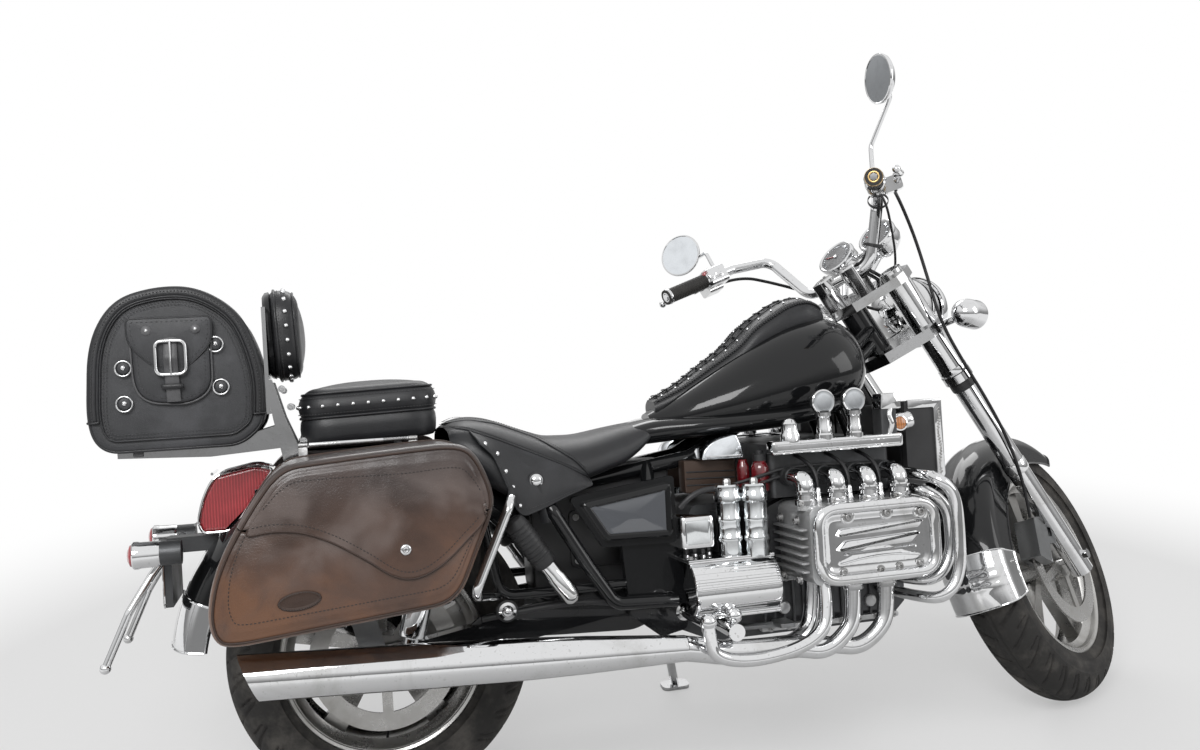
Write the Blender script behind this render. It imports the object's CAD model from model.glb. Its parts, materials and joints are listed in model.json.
"""Looks of a heavy flat-six cruiser motorcycle: finishes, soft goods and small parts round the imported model.

Shapes are worked out in millimetres, either upright (ahead, left, up from the ground half way between
the wheels) or on the steering axis (ahead of it, left of it, along it), and are placed in metres.
"""

import json

import bmesh
import bpy
import numpy as np
from bpy.props import FloatProperty, FloatVectorProperty, IntProperty, PointerProperty
from bpy.types import Operator, Panel, PropertyGroup
from mathutils import Matrix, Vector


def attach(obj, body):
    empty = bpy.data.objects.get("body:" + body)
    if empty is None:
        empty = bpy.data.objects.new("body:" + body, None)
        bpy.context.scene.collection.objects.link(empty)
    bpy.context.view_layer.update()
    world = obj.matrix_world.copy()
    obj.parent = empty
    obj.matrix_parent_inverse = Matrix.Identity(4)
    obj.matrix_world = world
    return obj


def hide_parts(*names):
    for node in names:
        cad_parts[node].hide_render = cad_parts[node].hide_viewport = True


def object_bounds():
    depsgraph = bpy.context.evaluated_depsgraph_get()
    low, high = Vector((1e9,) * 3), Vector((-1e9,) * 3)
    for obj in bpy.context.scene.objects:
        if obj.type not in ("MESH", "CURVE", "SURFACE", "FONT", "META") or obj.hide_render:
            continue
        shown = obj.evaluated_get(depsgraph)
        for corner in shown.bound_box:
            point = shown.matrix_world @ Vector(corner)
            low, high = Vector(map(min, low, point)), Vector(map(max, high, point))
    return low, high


bl_info = {
    "name": "Cruiser Motorcycle Looks",
    "version": (1, 0, 0),
    "blender": (4, 5, 0),
    "location": "3D View > Sidebar > Cruiser",
    "description": "Finishes, leather, tyres and small parts of a parked cruiser motorcycle",
    "category": "Object",
}

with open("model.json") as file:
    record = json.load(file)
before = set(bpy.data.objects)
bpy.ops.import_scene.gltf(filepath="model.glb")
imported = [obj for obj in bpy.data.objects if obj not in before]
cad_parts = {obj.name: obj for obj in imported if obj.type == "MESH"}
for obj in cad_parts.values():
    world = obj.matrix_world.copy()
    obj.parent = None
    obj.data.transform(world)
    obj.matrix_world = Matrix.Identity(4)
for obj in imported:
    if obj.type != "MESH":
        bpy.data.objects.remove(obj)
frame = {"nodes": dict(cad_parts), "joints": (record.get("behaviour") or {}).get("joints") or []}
CAD_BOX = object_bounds()
JOINTS = {joint["name"]: joint for joint in frame["joints"]}
NODES = frame["nodes"]

# ------------------------------------------------------------------ places
MM = 0.001
RAKE = np.radians(32.2)
STEER_FOOT = 997.0
REAR_WHEEL = np.array((-845.0, 0.0, 329.0))
FRONT_WHEEL = np.array((845.0, 0.0, 336.0))
AHEAD = np.array(JOINTS["lid_left_hinge"]["axis"])
LEFT = np.array(JOINTS["rear_wheel_spin"]["axis"])
ABOVE = np.cross(AHEAD, LEFT)
UPRIGHT = np.stack((AHEAD, LEFT, ABOVE))
ORIGIN = np.array(JOINTS["rear_wheel_spin"]["pos_m"]) - MM * REAR_WHEEL @ UPRIGHT
ALONG = np.array(JOINTS["steering"]["axis"])
ACROSS = np.array(JOINTS["front_wheel_spin"]["axis"])
STEERED = np.stack((np.cross(ACROSS, ALONG), ACROSS, ALONG))
STEER_ORIGIN = ORIGIN + MM * np.array((STEER_FOOT, 0.0, 0.0)) @ UPRIGHT


def upright(points):
    """Upright millimetres to metres: the origin plus each number times its own axis."""
    return ORIGIN + MM * np.asarray(points, float) @ UPRIGHT


def steered(points):
    """Millimetres ahead of, left of and along the steering axis to metres."""
    return STEER_ORIGIN + MM * np.asarray(points, float) @ STEERED


def on_axis(points):
    """Upright, straight-ahead millimetres to steering numbers: a turn by the rake about the axis foot."""
    p = np.asarray(points, float)
    x = p[..., 0] - STEER_FOOT
    return np.stack((
        x * np.cos(RAKE) + p[..., 2] * np.sin(RAKE), p[..., 1], p[..., 2] * np.cos(RAKE) - x * np.sin(RAKE)), -1)


def turned(points):
    """A front-end point given upright and straight ahead, placed where the steering now rests."""
    return steered(on_axis(points))


def as_given(points):
    """Points that are in metres already."""
    return np.asarray(points, float)


# ------------------------------------------------------------------ shapes
def unit(vector):
    """Each vector divided by its length."""
    vector = np.asarray(vector, float)
    return vector / np.maximum(np.linalg.norm(vector, axis=-1, keepdims=True), 1e-12)


def across(axis):
    """Two unit vectors square to each axis: a cross product with Z, or with X near Z, then a second one."""
    axis = unit(axis)
    helper = np.where(np.abs(axis[..., 2:3]) < 0.9, (0.0, 0.0, 1.0), (1.0, 0.0, 0.0))
    first = unit(np.cross(helper, axis))
    return first, np.cross(axis, first)


def curve(points, count, closed=False):
    """Catmull-Rom curve through the points, read at evenly spaced parameters."""
    p = np.asarray(points, float)
    n = len(p)
    at = np.linspace(0, n if closed else n - 1, count, endpoint=not closed)
    i = np.minimum(at.astype(int), n - 1 if closed else n - 2)
    f = (at - i)[:, None]
    pick = (lambda k: p[k % n]) if closed else (lambda k: p[np.clip(k, 0, n - 1)])
    a, b, c, d = pick(i - 1), pick(i), pick(i + 1), pick(i + 2)
    return 0.5 * (2 * b + (c - a) * f + (2 * a - 5 * b + 4 * c - d) * f ** 2 + (3 * b - a - 3 * c + d) * f ** 3)


def bowed(points, count=90):
    """Smooth line with the given bends: quadratic pieces from mid-run to mid-run, each pulled toward its corner."""
    p = np.asarray(points, float)
    middle = (p[:-1] + p[1:]) / 2
    start = np.concatenate((p[:1], middle[1:-1]))
    end = np.concatenate((middle[1:-1], p[-1:]))
    corner = p[1:-1]
    t = np.linspace(0, 1, 24)[:, None]
    runs = [(1 - t) ** 2 * a + 2 * t * (1 - t) * b + t ** 2 * c for a, b, c in zip(start, corner, end)]
    return even(np.concatenate(runs), count)


def even(points, count, closed=False):
    """The same line read at equal steps of its own length."""
    p = np.asarray(points, float)
    if closed:
        p = np.concatenate((p, p[:1]))
    step = np.concatenate(((0.0,), np.cumsum(np.linalg.norm(np.diff(p, axis=0), axis=1))))
    at = np.linspace(0, step[-1], count, endpoint=not closed)
    return np.stack([np.interp(at, step, p[:, k]) for k in range(p.shape[1])], -1)


def rounded(outline, radius, steps=5):
    """Closed outline whose corners become quadratic bends that start one radius from each corner."""
    p = np.asarray(outline, float)
    before, after = np.roll(p, 1, 0) - p, np.roll(p, -1, 0) - p
    radius = np.broadcast_to(np.asarray(radius, float), (len(p),))
    reach = [np.minimum(radius, 0.49 * np.linalg.norm(e, axis=1))[:, None] for e in (before, after)]
    start, end = p + unit(before) * reach[0], p + unit(after) * reach[1]
    t = np.linspace(0, 1, steps)[None, :, None]
    bend = (1 - t) ** 2 * start[:, None] + 2 * t * (1 - t) * p[:, None] + t ** 2 * end[:, None]
    return bend.reshape(-1, 2)


def inset(outline, amount):
    """Closed outline moved inward along the mean normal of its two edges."""
    p = np.asarray(outline, float)
    edge = unit(np.roll(p, -1, 0) - p)
    area = np.sum(p[:, 0] * np.roll(p[:, 1], -1) - p[:, 1] * np.roll(p[:, 0], -1))
    normal = np.stack((-edge[:, 1], edge[:, 0]), -1) * np.sign(area)
    mean = normal + np.roll(normal, 1, 0)
    return p + amount * mean / np.maximum(np.sum(mean * normal, axis=1, keepdims=True), 0.5)


def lathe(profile, centre, axis, sides=24):
    """Turned shape: each (radius, height) of the profile carried round every axis through its centre."""
    profile = np.asarray(profile, float)
    centre, axis = np.asarray(centre, float), unit(axis)
    first, second = across(axis)
    turn = np.linspace(0, 2 * np.pi, sides, endpoint=False)[:, None]
    ring = np.cos(turn) * first[..., None, :] + np.sin(turn) * second[..., None, :]
    return (centre[..., None, None, :] + profile[:, 1, None, None] * axis[..., None, None, :]
            + profile[:, 0, None, None] * ring[..., None, :, :])


def tube(path, radius, sides=14, flat=1.0, closed=False):
    """Rings round a path: radius times cosine and sine along two normals.

    The first normal is the direction that the path uses least, and the second can be flattened.
    """
    path = np.asarray(path, float)
    if closed:
        tangent = unit(np.roll(path, -1, 0) - np.roll(path, 1, 0))
    else:
        tangent = unit(np.gradient(path, axis=0))
    least = np.linalg.svd(tangent, full_matrices=False)[2][-1]
    first = unit(least - (tangent @ least)[:, None] * tangent)
    second = np.cross(tangent, first)
    radius = np.broadcast_to(np.asarray(radius, float), (len(path),))[:, None, None]
    turn = np.linspace(0, 2 * np.pi, sides, endpoint=False)[None, :, None]
    return path[:, None] + radius * (np.cos(turn) * first[:, None] + flat * np.sin(turn) * second[:, None])


def block(outline, low, high, edge=1.5, plane="side"):
    """Slab rows between two levels: the outline drawn in by the edge at both faces; side slabs run along Y."""
    p = np.asarray(outline, float)
    small = inset(p, edge)
    step = edge * 0.3
    mid = inset(p, step)
    rows = ((small, low), (mid, low + step), (p, low + edge), (p, high - edge), (mid, high - step), (small, high))
    flat = np.stack([np.column_stack((ring, np.full(len(ring), level))) for ring, level in rows])
    return flat[..., (0, 2, 1)] if plane == "side" else flat if plane == "top" else flat[..., (2, 0, 1)]


def box_outline(x0, z0, x1, z1, radius):
    """Rounded rectangle outline."""
    return rounded([(x0, z0), (x1, z0), (x1, z1), (x0, z1)], radius)


def mirrored(points):
    """The left-hand twin of right-hand points."""
    return np.asarray(points, float) * (1.0, -1.0, 1.0)


DOME = [(0.0, 1.0), (0.42, 0.9), (0.78, 0.6), (1.0, 0.12), (1.0, -0.3)]


class Piece:
    """Grids gathered into one mesh object that rides on a body."""

    def __init__(self, name, body, slot, *finishes, place=upright):
        self.name, self.body, self.slot, self.finishes, self.place = name, body, slot, finishes, place
        self.points, self.faces, self.kinds, self.count = [], [], [], 0

    def grid(self, points, finish=0, around=False, along=False, ends=False, place=None):
        """Quads between neighbours of a rows-by-columns grid, or of many; columns or rows may close on themselves."""
        p = (place or self.place)(points)
        rows, cols = p.shape[-3:-1]
        p = p.reshape(-1, rows, cols, 3)
        number = np.arange(rows * cols).reshape(rows, cols)
        if around:
            number = np.concatenate((number, number[:, :1]), 1)
        if along:
            number = np.concatenate((number, number[:1]), 0)
        quad = np.stack((number[:-1, :-1], number[:-1, 1:], number[1:, 1:], number[1:, :-1]), -1).reshape(-1, 4)
        shift = (self.count + rows * cols * np.arange(len(p)))[:, None, None]
        self.collect(p, (quad + shift).reshape(-1, 4), finish)
        if ends:
            caps = np.stack((np.arange(cols)[::-1], (rows - 1) * cols + np.arange(cols)))
            self.faces.append((caps[None] + shift).reshape(-1, cols))
            self.kinds.append(np.full(2 * len(p), finish))
        self.count += p.size // 3
        return self

    def spun(self, hand, finish, *shape):
        """A profile turned round one axis or many."""
        self.grid(hand(lathe(*shape)), finish, around=True)

    def pipe(self, hand, finish, *shape):
        """A capped tube along a path."""
        self.grid(hand(tube(*shape)), finish, around=True, ends=True)

    def loop(self, hand, finish, *shape):
        """A tube along a closed path."""
        self.grid(hand(tube(*shape, closed=True)), finish, around=True, along=True)

    def slab(self, hand, finish, *shape, **more):
        """A flat outline with thickness and bevelled edges."""
        self.grid(hand(block(*shape, **more)), finish, around=True, ends=True)

    def collect(self, p, faces, finish):
        """Keeps one block of points and faces."""
        self.points.append(p.reshape(-1, 3))
        self.faces.append(faces)
        self.kinds.append(np.full(len(faces), finish))

    def build(self, smooth=40.0, merge=True, thickness=0.0, levels=0):
        """Fills the mesh with whole arrays, closes seams and poles, and turns the faces outward."""
        mesh = bpy.data.meshes.new(self.name)
        points = np.concatenate(self.points)
        sizes = np.concatenate([np.full(len(f), f.shape[1]) for f in self.faces])
        loops = np.concatenate([f.ravel() for f in self.faces])
        mesh.vertices.add(len(points))
        mesh.vertices.foreach_set("co", points.astype(np.float32).ravel())
        mesh.loops.add(len(loops))
        mesh.loops.foreach_set("vertex_index", loops.astype(np.int32))
        mesh.polygons.add(len(sizes))
        mesh.polygons.foreach_set("loop_start", np.concatenate(((0,), np.cumsum(sizes)[:-1])).astype(np.int32))
        mesh.polygons.foreach_set("material_index", np.concatenate(self.kinds).astype(np.int32))
        mesh.update(calc_edges=True)
        if merge:
            shell = bmesh.new()
            shell.from_mesh(mesh)
            bmesh.ops.remove_doubles(shell, verts=shell.verts, dist=2e-5)
            bmesh.ops.recalc_face_normals(shell, faces=shell.faces)
            shell.to_mesh(mesh)
            shell.free()
        mesh.polygons.foreach_set("use_smooth", np.ones(len(mesh.polygons), bool))
        mesh.set_sharp_from_angle(angle=np.radians(smooth))
        for finish in self.finishes:
            mesh.materials.append(finish)
        made = bpy.data.objects.new(self.name, mesh)
        bpy.context.scene.collection.objects.link(made)
        if thickness:
            wall = made.modifiers.new("wall", "SOLIDIFY")
            wall.thickness, wall.offset = thickness, -1.0
        if levels:
            soft = made.modifiers.new("soft", "SUBSURF")
            soft.levels = soft.render_levels = levels
        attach(made, self.body)
        return made


def domes(piece, centres, axes, radius, height, finish=0, sides=12):
    """Round-headed studs: the dome profile, scaled, at every centre."""
    profile = np.array(DOME) * (radius, height)
    piece.spun(as_given, finish, profile, centres, axes, sides)


def bolts(piece, centres, axes, radius, height, finish=0):
    """Socket-head bolts: a bevelled drum with a shallow six-sided recess on a thin washer."""
    r, h = radius, height
    drum = [(1.5 * r, 0), (1.5 * r, 0.25 * r), (1.0 * r, 0.25 * r), (1.0 * r, h - 0.15 * r), (0.85 * r, h),
            (0.55 * r, h)]
    piece.spun(as_given, finish, drum, centres, axes, 18)
    piece.spun(as_given, finish, [(0.55 * r, h), (0.5 * r, h - 0.6 * r), (0, h - 0.6 * r)], centres, axes, 6)


def stitches(piece, path, pitch, length, radius, finish=0, closed=False):
    """Thread: a six-sided spindle at every step of the path, laid along it."""
    path = np.asarray(path, float)
    total = np.sum(np.linalg.norm(np.diff(path, axis=0), axis=1))
    count = max(int(total / pitch), 2)
    centres = even(path, count, closed)
    axes = unit(np.roll(centres, -1, 0) - np.roll(centres, 1, 0)) if closed else unit(np.gradient(centres, axis=0))
    spindle = [(0, -length / 2), (radius, -length / 3), (radius, length / 3), (0, length / 2)]
    piece.spun(as_given, finish, spindle, centres, axes, 5)


# ------------------------------------------------------------------ finishes
class Shade:
    """A node's output that can be added, multiplied and compared: each operator adds its Math node."""

    def __init__(self, finish, socket):
        self.finish, self.socket = finish, socket

    def work(self, operation, first, second=None, third=None):
        """One Math node on up to three numbers or outputs."""
        given = {i: v for i, v in enumerate((first, second, third)) if v is not None}
        return self.finish.node("ShaderNodeMath", {"operation": operation}, given)

    def __add__(self, other):
        return self.work("ADD", self, other)

    def __sub__(self, other):
        return self.work("SUBTRACT", self, other)

    def __rsub__(self, other):
        return self.work("SUBTRACT", other, self)

    def __mul__(self, other):
        return self.work("MULTIPLY", self, other)

    def __truediv__(self, other):
        return self.work("DIVIDE", self, other)

    def __pow__(self, other):
        return self.work("POWER", self, other)

    def __neg__(self):
        return self * -1.0

    def __abs__(self):
        return self.work("ABSOLUTE", self)

    __radd__, __rmul__ = __add__, __mul__

    def wave(self, turns=1.0):
        """Sine of the value times the turns."""
        return self.work("SINE", self * turns)

    def most(self, other):
        return self.work("MAXIMUM", self, other)

    def least(self, other):
        return self.work("MINIMUM", self, other)

    def between(self, low, high, out=(0.0, 1.0)):
        """The value mapped from one span to another, smoothly and held at both ends."""
        return self.finish.node(
            "ShaderNodeMapRange", {"interpolation_type": "SMOOTHSTEP"},
            {"Value": self, "From Min": low, "From Max": high, "To Min": out[0], "To Max": out[1]})


class Finish:
    """A material built round one Principled shader."""

    def __init__(self, name, **fixed):
        self.material = bpy.data.materials.new(name)
        self.material.use_nodes = True
        self.tree = self.material.node_tree
        self.surface = next(n for n in self.tree.nodes if n.type == "BSDF_PRINCIPLED")
        for key, value in fixed.items():
            self.surface.inputs[key.replace("_", " ")].default_value = value

    def node(self, kind, settings=None, inputs=None, output=0):
        """Any node: its settings first, then the values or links of its sockets."""
        made = self.tree.nodes.new(kind)
        for key, value in (settings or {}).items():
            if key == "stops":
                ramp = made.color_ramp
                for place, (at, colour) in enumerate(value):
                    stop = ramp.elements[place] if place < 2 else ramp.elements.new(at)
                    stop.position, stop.color = at, (*colour, 1.0)
            else:
                setattr(made, key, value)
        for key, value in (inputs or {}).items():
            socket = made.inputs[key]
            if isinstance(value, Shade):
                self.tree.links.new(value.socket, socket)
            else:
                socket.default_value = value
        return Shade(self, made.outputs[output])

    def spot(self, centre=(0, 0, 0), scale=(1, 1, 1), turn=(0, 0, 0)):
        """Object coordinates, centred, turned and scaled."""
        where = self.node("ShaderNodeTexCoord", output="Object")
        moved = self.node("ShaderNodeVectorMath", {"operation": "SUBTRACT"}, {0: where, 1: tuple(centre)})
        return self.node("ShaderNodeMapping", {"vector_type": "POINT"},
                         {"Vector": moved, "Rotation": turn, "Scale": scale})

    def noise(self, scale, detail=3.0, rough=0.5, at=None, twist=0.0):
        return self.node("ShaderNodeTexNoise", None, {
            "Vector": at or self.spot(), "Scale": scale, "Detail": detail, "Roughness": rough, "Distortion": twist})

    def cells(self, scale, feature="F1", at=None):
        return self.node("ShaderNodeTexVoronoi", {"feature": feature}, {"Vector": at or self.spot(), "Scale": scale})

    def dot(self, axis, origin):
        """Distance along an axis from a point, in metres."""
        away = self.node("ShaderNodeVectorMath", {"operation": "SUBTRACT"}, {
            0: self.node("ShaderNodeTexCoord", output="Object"), 1: tuple(map(float, origin))})
        return self.node("ShaderNodeVectorMath", {"operation": "DOT_PRODUCT"}, {0: away, 1: tuple(map(float, axis))},
                         "Value")

    def mix(self, factor, first, second):
        """Colour mix."""
        made = self.tree.nodes.new("ShaderNodeMix")
        made.data_type = "RGBA"
        for key, value in ((0, factor), (6, first), (7, second)):
            if isinstance(value, Shade):
                self.tree.links.new(value.socket, made.inputs[key])
            else:
                made.inputs[key].default_value = value if key == 0 else (*value[:3], 1.0)
        return Shade(self, made.outputs[2])

    def bump(self, height, strength=0.3, distance=0.001):
        return self.node("ShaderNodeBump", None, {"Height": height, "Strength": strength, "Distance": distance})

    def to(self, **links):
        """Feeds the shader's sockets."""
        for key, value in links.items():
            self.tree.links.new(value.socket, self.surface.inputs[key.replace("_", " ")])
        return self.material


def chrome_finish(name="chrome", tone=0.72, rough=0.035):
    """Plated steel: a mirror with soft smears, fine pitting and dust that gathers in patches."""
    f = Finish(name, Metallic=1.0)
    smear = f.noise(5.0, 5.0, 0.62, twist=0.8)
    pits = f.noise(140.0, 3.0, 0.6)
    dull = smear.between(0.48, 0.74)
    specks = pits.between(0.60, 0.72)
    tint = f.mix(dull, (tone, tone * 1.005, tone * 1.015), (tone * 0.78, tone * 0.78, tone * 0.77))
    tint = f.mix(specks * 0.35, tint, (tone * 0.42, tone * 0.41, tone * 0.39))
    return f.to(Base_Color=tint, Roughness=dull * 0.05 + specks * 0.08 + rough,
                Normal=f.bump(smear * 0.8 + pits * 0.03, 0.12, 0.004))


def metal_finish(name, colour, rough, metallic=0.9, grain=260.0, depth=0.35, stain=(0.5, 0.48, 0.45)):
    """Cast or satin metal: fine grain in relief, with stains that collect in broad patches."""
    f = Finish(name, Metallic=metallic)
    broad = f.noise(9.0, 5.0, 0.65)
    fine = f.noise(grain, 2.0, 0.5)
    worn = broad.between(0.42, 0.72)
    shade = f.mix(worn * 0.55, colour, tuple(c * s for c, s in zip(colour, stain)))
    return f.to(Base_Color=shade, Roughness=worn * 0.15 + fine * 0.12 + rough, Normal=f.bump(fine, depth, 0.0006))


def lacquer_finish(name, colour, rough=0.10, coat=1.0, index=1.36):
    """Gloss enamel under clear lacquer, with very faint orange peel and polishing haze."""
    f = Finish(name, Coat_Roughness=0.03, Coat_IOR=index, Specular_IOR_Level=0.1, Coat_Weight=coat)
    peel = f.noise(120.0, 1.0, 0.4)
    haze = f.noise(5.0, 5.0, 0.6, twist=0.4)
    shade = f.mix(haze.between(0.5, 0.8), colour, tuple(c * 1.7 + 0.004 for c in colour))
    return f.to(Base_Color=shade, Roughness=haze * 0.12 + rough, Normal=f.bump(peel, 0.03, 0.0005))


def leather_finish(name, dark, mid, light, grain=420.0, relief=0.45, rough=0.38, patch=5.0, sheen=0.04):
    """Leather: pebble cells over fine wrinkles, a colour that drifts in broad patches, and duller worn places."""
    f = Finish(name, Sheen_Weight=sheen, Sheen_Roughness=0.4, Specular_IOR_Level=0.44)
    drift = f.noise(patch, 4.0, 0.55, twist=0.5)
    fine = f.noise(patch * 6, 4.0, 0.6)
    pebble = f.cells(grain, "DISTANCE_TO_EDGE")
    wrinkle = f.noise(grain * 0.28, 4.0, 0.65)
    tone = f.mix((drift * 0.8 + fine * 0.2).between(0.34, 0.50), dark, mid)
    tone = f.mix((drift * 0.75 + fine * 0.25).between(0.50, 0.68), tone, light)
    tone = f.mix(pebble.between(0.0, 0.12, (0.28, 0.0)), tone, tuple(c * 0.4 for c in dark))
    height = pebble.between(0.0, 0.25) * 0.5 + wrinkle * 0.8
    return f.to(Base_Color=tone, Roughness=drift * 0.12 + wrinkle * 0.14 + rough, Normal=f.bump(height, relief, 0.0009))


def rubber_finish(name, colour=(0.022, 0.021, 0.020), dust=(0.085, 0.078, 0.070), amount=0.5, rough=0.72):
    """Rubber: matt black with road dust in patches and a fine moulded grain."""
    f = Finish(name, Specular_IOR_Level=0.35)
    broad = f.noise(14.0, 5.0, 0.65)
    fine = f.noise(240.0, 2.0, 0.5)
    shade = f.mix(broad.between(0.4, 0.75) * amount, colour, dust)
    return f.to(Base_Color=shade, Roughness=fine * 0.12 + rough, Normal=f.bump(fine * 0.4 + broad * 0.2, 0.35, 0.0008))


def lens_finish(name, colour, pitch=0.006):
    """Moulded lens: deep colour, clear gloss and fine vertical ribs."""
    f = Finish(name, Coat_Weight=1.0, Coat_Roughness=0.02, Specular_IOR_Level=0.6)
    rib = f.dot(AHEAD, ORIGIN).wave(2 * np.pi / pitch)
    deep = f.noise(20.0, 3.0, 0.5)
    shade = f.mix((deep * 0.6 + rib * 0.15).between(0.2, 0.6), tuple(c * 0.55 for c in colour), colour)
    return f.to(Base_Color=shade, Roughness=deep * 0.1 + 0.08, Normal=f.bump(rib, 0.25, 0.0006))


def thread_finish(name, colour):
    """Twisted thread: a soft fibre with a fine diagonal lay."""
    f = Finish(name, Sheen_Weight=0.3)
    fibre = f.noise(900.0, 2.0, 0.5)
    return f.to(Base_Color=f.mix(fibre, tuple(c * 0.6 for c in colour), colour), Roughness=fibre * 0.2 + 0.6)


def glass_finish(name, colour=(0.74, 0.77, 0.80)):
    """Mirror glass: a clean pale reflector with a faint film of dust."""
    f = Finish(name, Metallic=1.0)
    film = f.noise(30.0, 4.0, 0.6)
    return f.to(Base_Color=f.mix(film.between(0.4, 0.8), colour, tuple(c * 0.86 for c in colour)),
                Roughness=film * 0.1 + 0.05)


PAINTS = {}


def paint(key):
    """A finish by name, made once from the settings."""
    if key in PAINTS:
        return PAINTS[key]
    look = bpy.context.scene.cruiser_finish
    brown, black = tuple(look.saddle_leather), tuple(look.black_leather)
    recipes = {
        "chrome": lambda: chrome_finish(),
        "dull_chrome": lambda: chrome_finish("dull chrome", 0.42, 0.14),
        "cast": lambda: metal_finish("cast alloy", (0.26, 0.265, 0.27), 0.24),
        "dark_cast": lambda: metal_finish("dark casting", (0.075, 0.077, 0.08), 0.36, 0.7),
        "wheel": lambda: metal_finish("wheel alloy", (0.46, 0.455, 0.445), 0.20, 0.95, 180.0, 0.12, (0.62, 0.60, 0.56)),
        "disc": lambda: disc_finish(),
        "steel": lambda: metal_finish("steel", (0.42, 0.42, 0.42), 0.30),
        "black": lambda: lacquer_finish("black enamel", (0.0075, 0.0078, 0.0085)),
        "satin_black": lambda: metal_finish("satin black", (0.018, 0.018, 0.019), 0.34, 0.0, 300.0, 0.2,
                                            (1.6, 1.6, 1.6)),
        "black_leather": lambda: leather_finish(
            "black leather", tuple(c * 0.6 for c in black), black, tuple(c * 1.9 for c in black), 330.0, 0.30, 0.34),
        "soft_leather": lambda: leather_finish(
            "soft black leather", tuple(c * 0.55 for c in black), tuple(c * 0.9 for c in black),
            tuple(c * 1.6 for c in black), 260.0, 0.16, 0.27, 3.0, 0.05),
        "brown_leather": lambda: brown_leather(brown),
        "brown_edge": lambda: leather_finish(
            "brown edge", tuple(c * 0.25 for c in brown), tuple(c * 0.42 for c in brown),
            tuple(c * 0.6 for c in brown), 500.0, 0.3, 0.42),
        "rubber": lambda: rubber_finish("black rubber", amount=0.25, rough=0.55),
        "tyre": lambda: rubber_finish("tyre rubber", dust=(0.10, 0.092, 0.083), amount=0.75),
        "hose": lambda: rubber_finish("hose", (0.010, 0.010, 0.011), (0.03, 0.03, 0.03), 0.4, 0.35),
        "red": lambda: lens_finish("red lens", (0.55, 0.065, 0.075)),
        "amber": lambda: lens_finish("amber lens", (0.55, 0.20, 0.05)),
        "clear": lambda: lens_finish("clear lens", (0.62, 0.64, 0.66), 0.008),
        "fluid": lambda: lens_finish("red reservoir", (0.20, 0.006, 0.012), 0.02),
        "glass": lambda: glass_finish("mirror glass"),
        "white_face": lambda: glass_finish("stack cap", (0.80, 0.83, 0.86)),
        "dial": lambda: metal_finish("dial", (0.03, 0.03, 0.034), 0.25, 0.2),
        "brown_thread": lambda: thread_finish("dark thread", (0.020, 0.014, 0.012)),
        "black_thread": lambda: thread_finish("black thread", (0.035, 0.035, 0.037)),
        "jar": lambda: glass_finish("cloudy jar", (0.70, 0.72, 0.73)),
        "brass": lambda: metal_finish("brass", (0.55, 0.38, 0.16), 0.28),
        "bright_cast": lambda: metal_finish("bright cast alloy", (0.50, 0.505, 0.51), 0.24, 0.55, 150.0, 0.2),
        "panel_gloss": lambda: lacquer_finish("gloss panel", (0.075, 0.080, 0.090), 0.16, 1.0, 1.7),
        "worn_leather": lambda: leather_finish(
            "worn black leather", (0.018, 0.0185, 0.020), (0.034, 0.035, 0.038), (0.060, 0.061, 0.066), 330.0, 0.25,
            0.34, 6.0),
        "piping": lambda: leather_finish("grey piping", (0.05, 0.05, 0.052), (0.10, 0.10, 0.104), (0.17, 0.17, 0.175),
                                         420.0, 0.15, 0.3),
        "core": lambda: metal_finish("radiator core", (0.010, 0.010, 0.011), 0.5, 0.3),
        "copper": lambda: metal_finish("aged copper box", (0.060, 0.038, 0.028), 0.4, 0.4),
    }
    PAINTS[key] = recipes[key]()
    return PAINTS[key]


def brown_leather(brown):
    """Oiled saddle leather: burnt along the top and in broad clouds, orange low down, with satin polish in patches."""
    f = Finish("brown saddle leather", Sheen_Weight=0.04, Specular_IOR_Level=0.42, Coat_Roughness=0.22,
               Coat_Weight=0.30)
    up, back = f.dot(ABOVE, upright((0, 0, 600))), f.dot(AHEAD, upright((-905, 0, 0)))
    cloud = f.noise(4.6, 5.0, 0.52, twist=0.8)
    mottle = f.noise(26.0, 4.0, 0.6, twist=0.5)
    pore = f.noise(520.0, 3.0, 0.6)
    crease = f.cells(170.0, "DISTANCE_TO_EDGE")
    dents = f.noise(9.0, 2.0, 0.4)
    low = up.between(0.08, -0.10)
    middle = (1.0 - (up * up * 22.0 + back * back * 7.0)).between(0.0, 1.0)
    warm = (cloud * 1.15 + low * 0.30 + middle * 0.16 + mottle * 0.10).between(0.52, 1.06)
    tone = f.mix(warm, tuple(c * 0.26 for c in brown), brown)
    tone = f.mix((cloud + low * 0.25 + mottle * 0.2).between(0.72, 0.98), tone,
                 (brown[0] * 1.6, brown[1] * 1.4, brown[2] * 1.05))
    tone = f.mix(up.between(0.02, 0.15) * 0.70, tone, (0.040, 0.029, 0.027))
    tone = f.mix(mottle.between(0.56, 0.74) * 0.25, tone, tuple(c * 0.42 for c in brown))
    sheen = f.noise(6.5, 3.0, 0.5, twist=0.4).between(0.47, 0.66) * up.between(-0.10,
            0.02) * (1.0 - up.between(0.09, 0.19))
    tone = f.mix(sheen * 0.55, tone, (0.175, 0.140, 0.128))
    height = pore * 0.10 + crease.between(0.0, 0.2) * 0.04 + mottle * 0.12 + dents * 4.0
    return f.to(Base_Color=tone, Roughness=mottle * 0.12 + cloud * 0.12 + 0.20, Normal=f.bump(height, 0.5, 0.0055))


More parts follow.
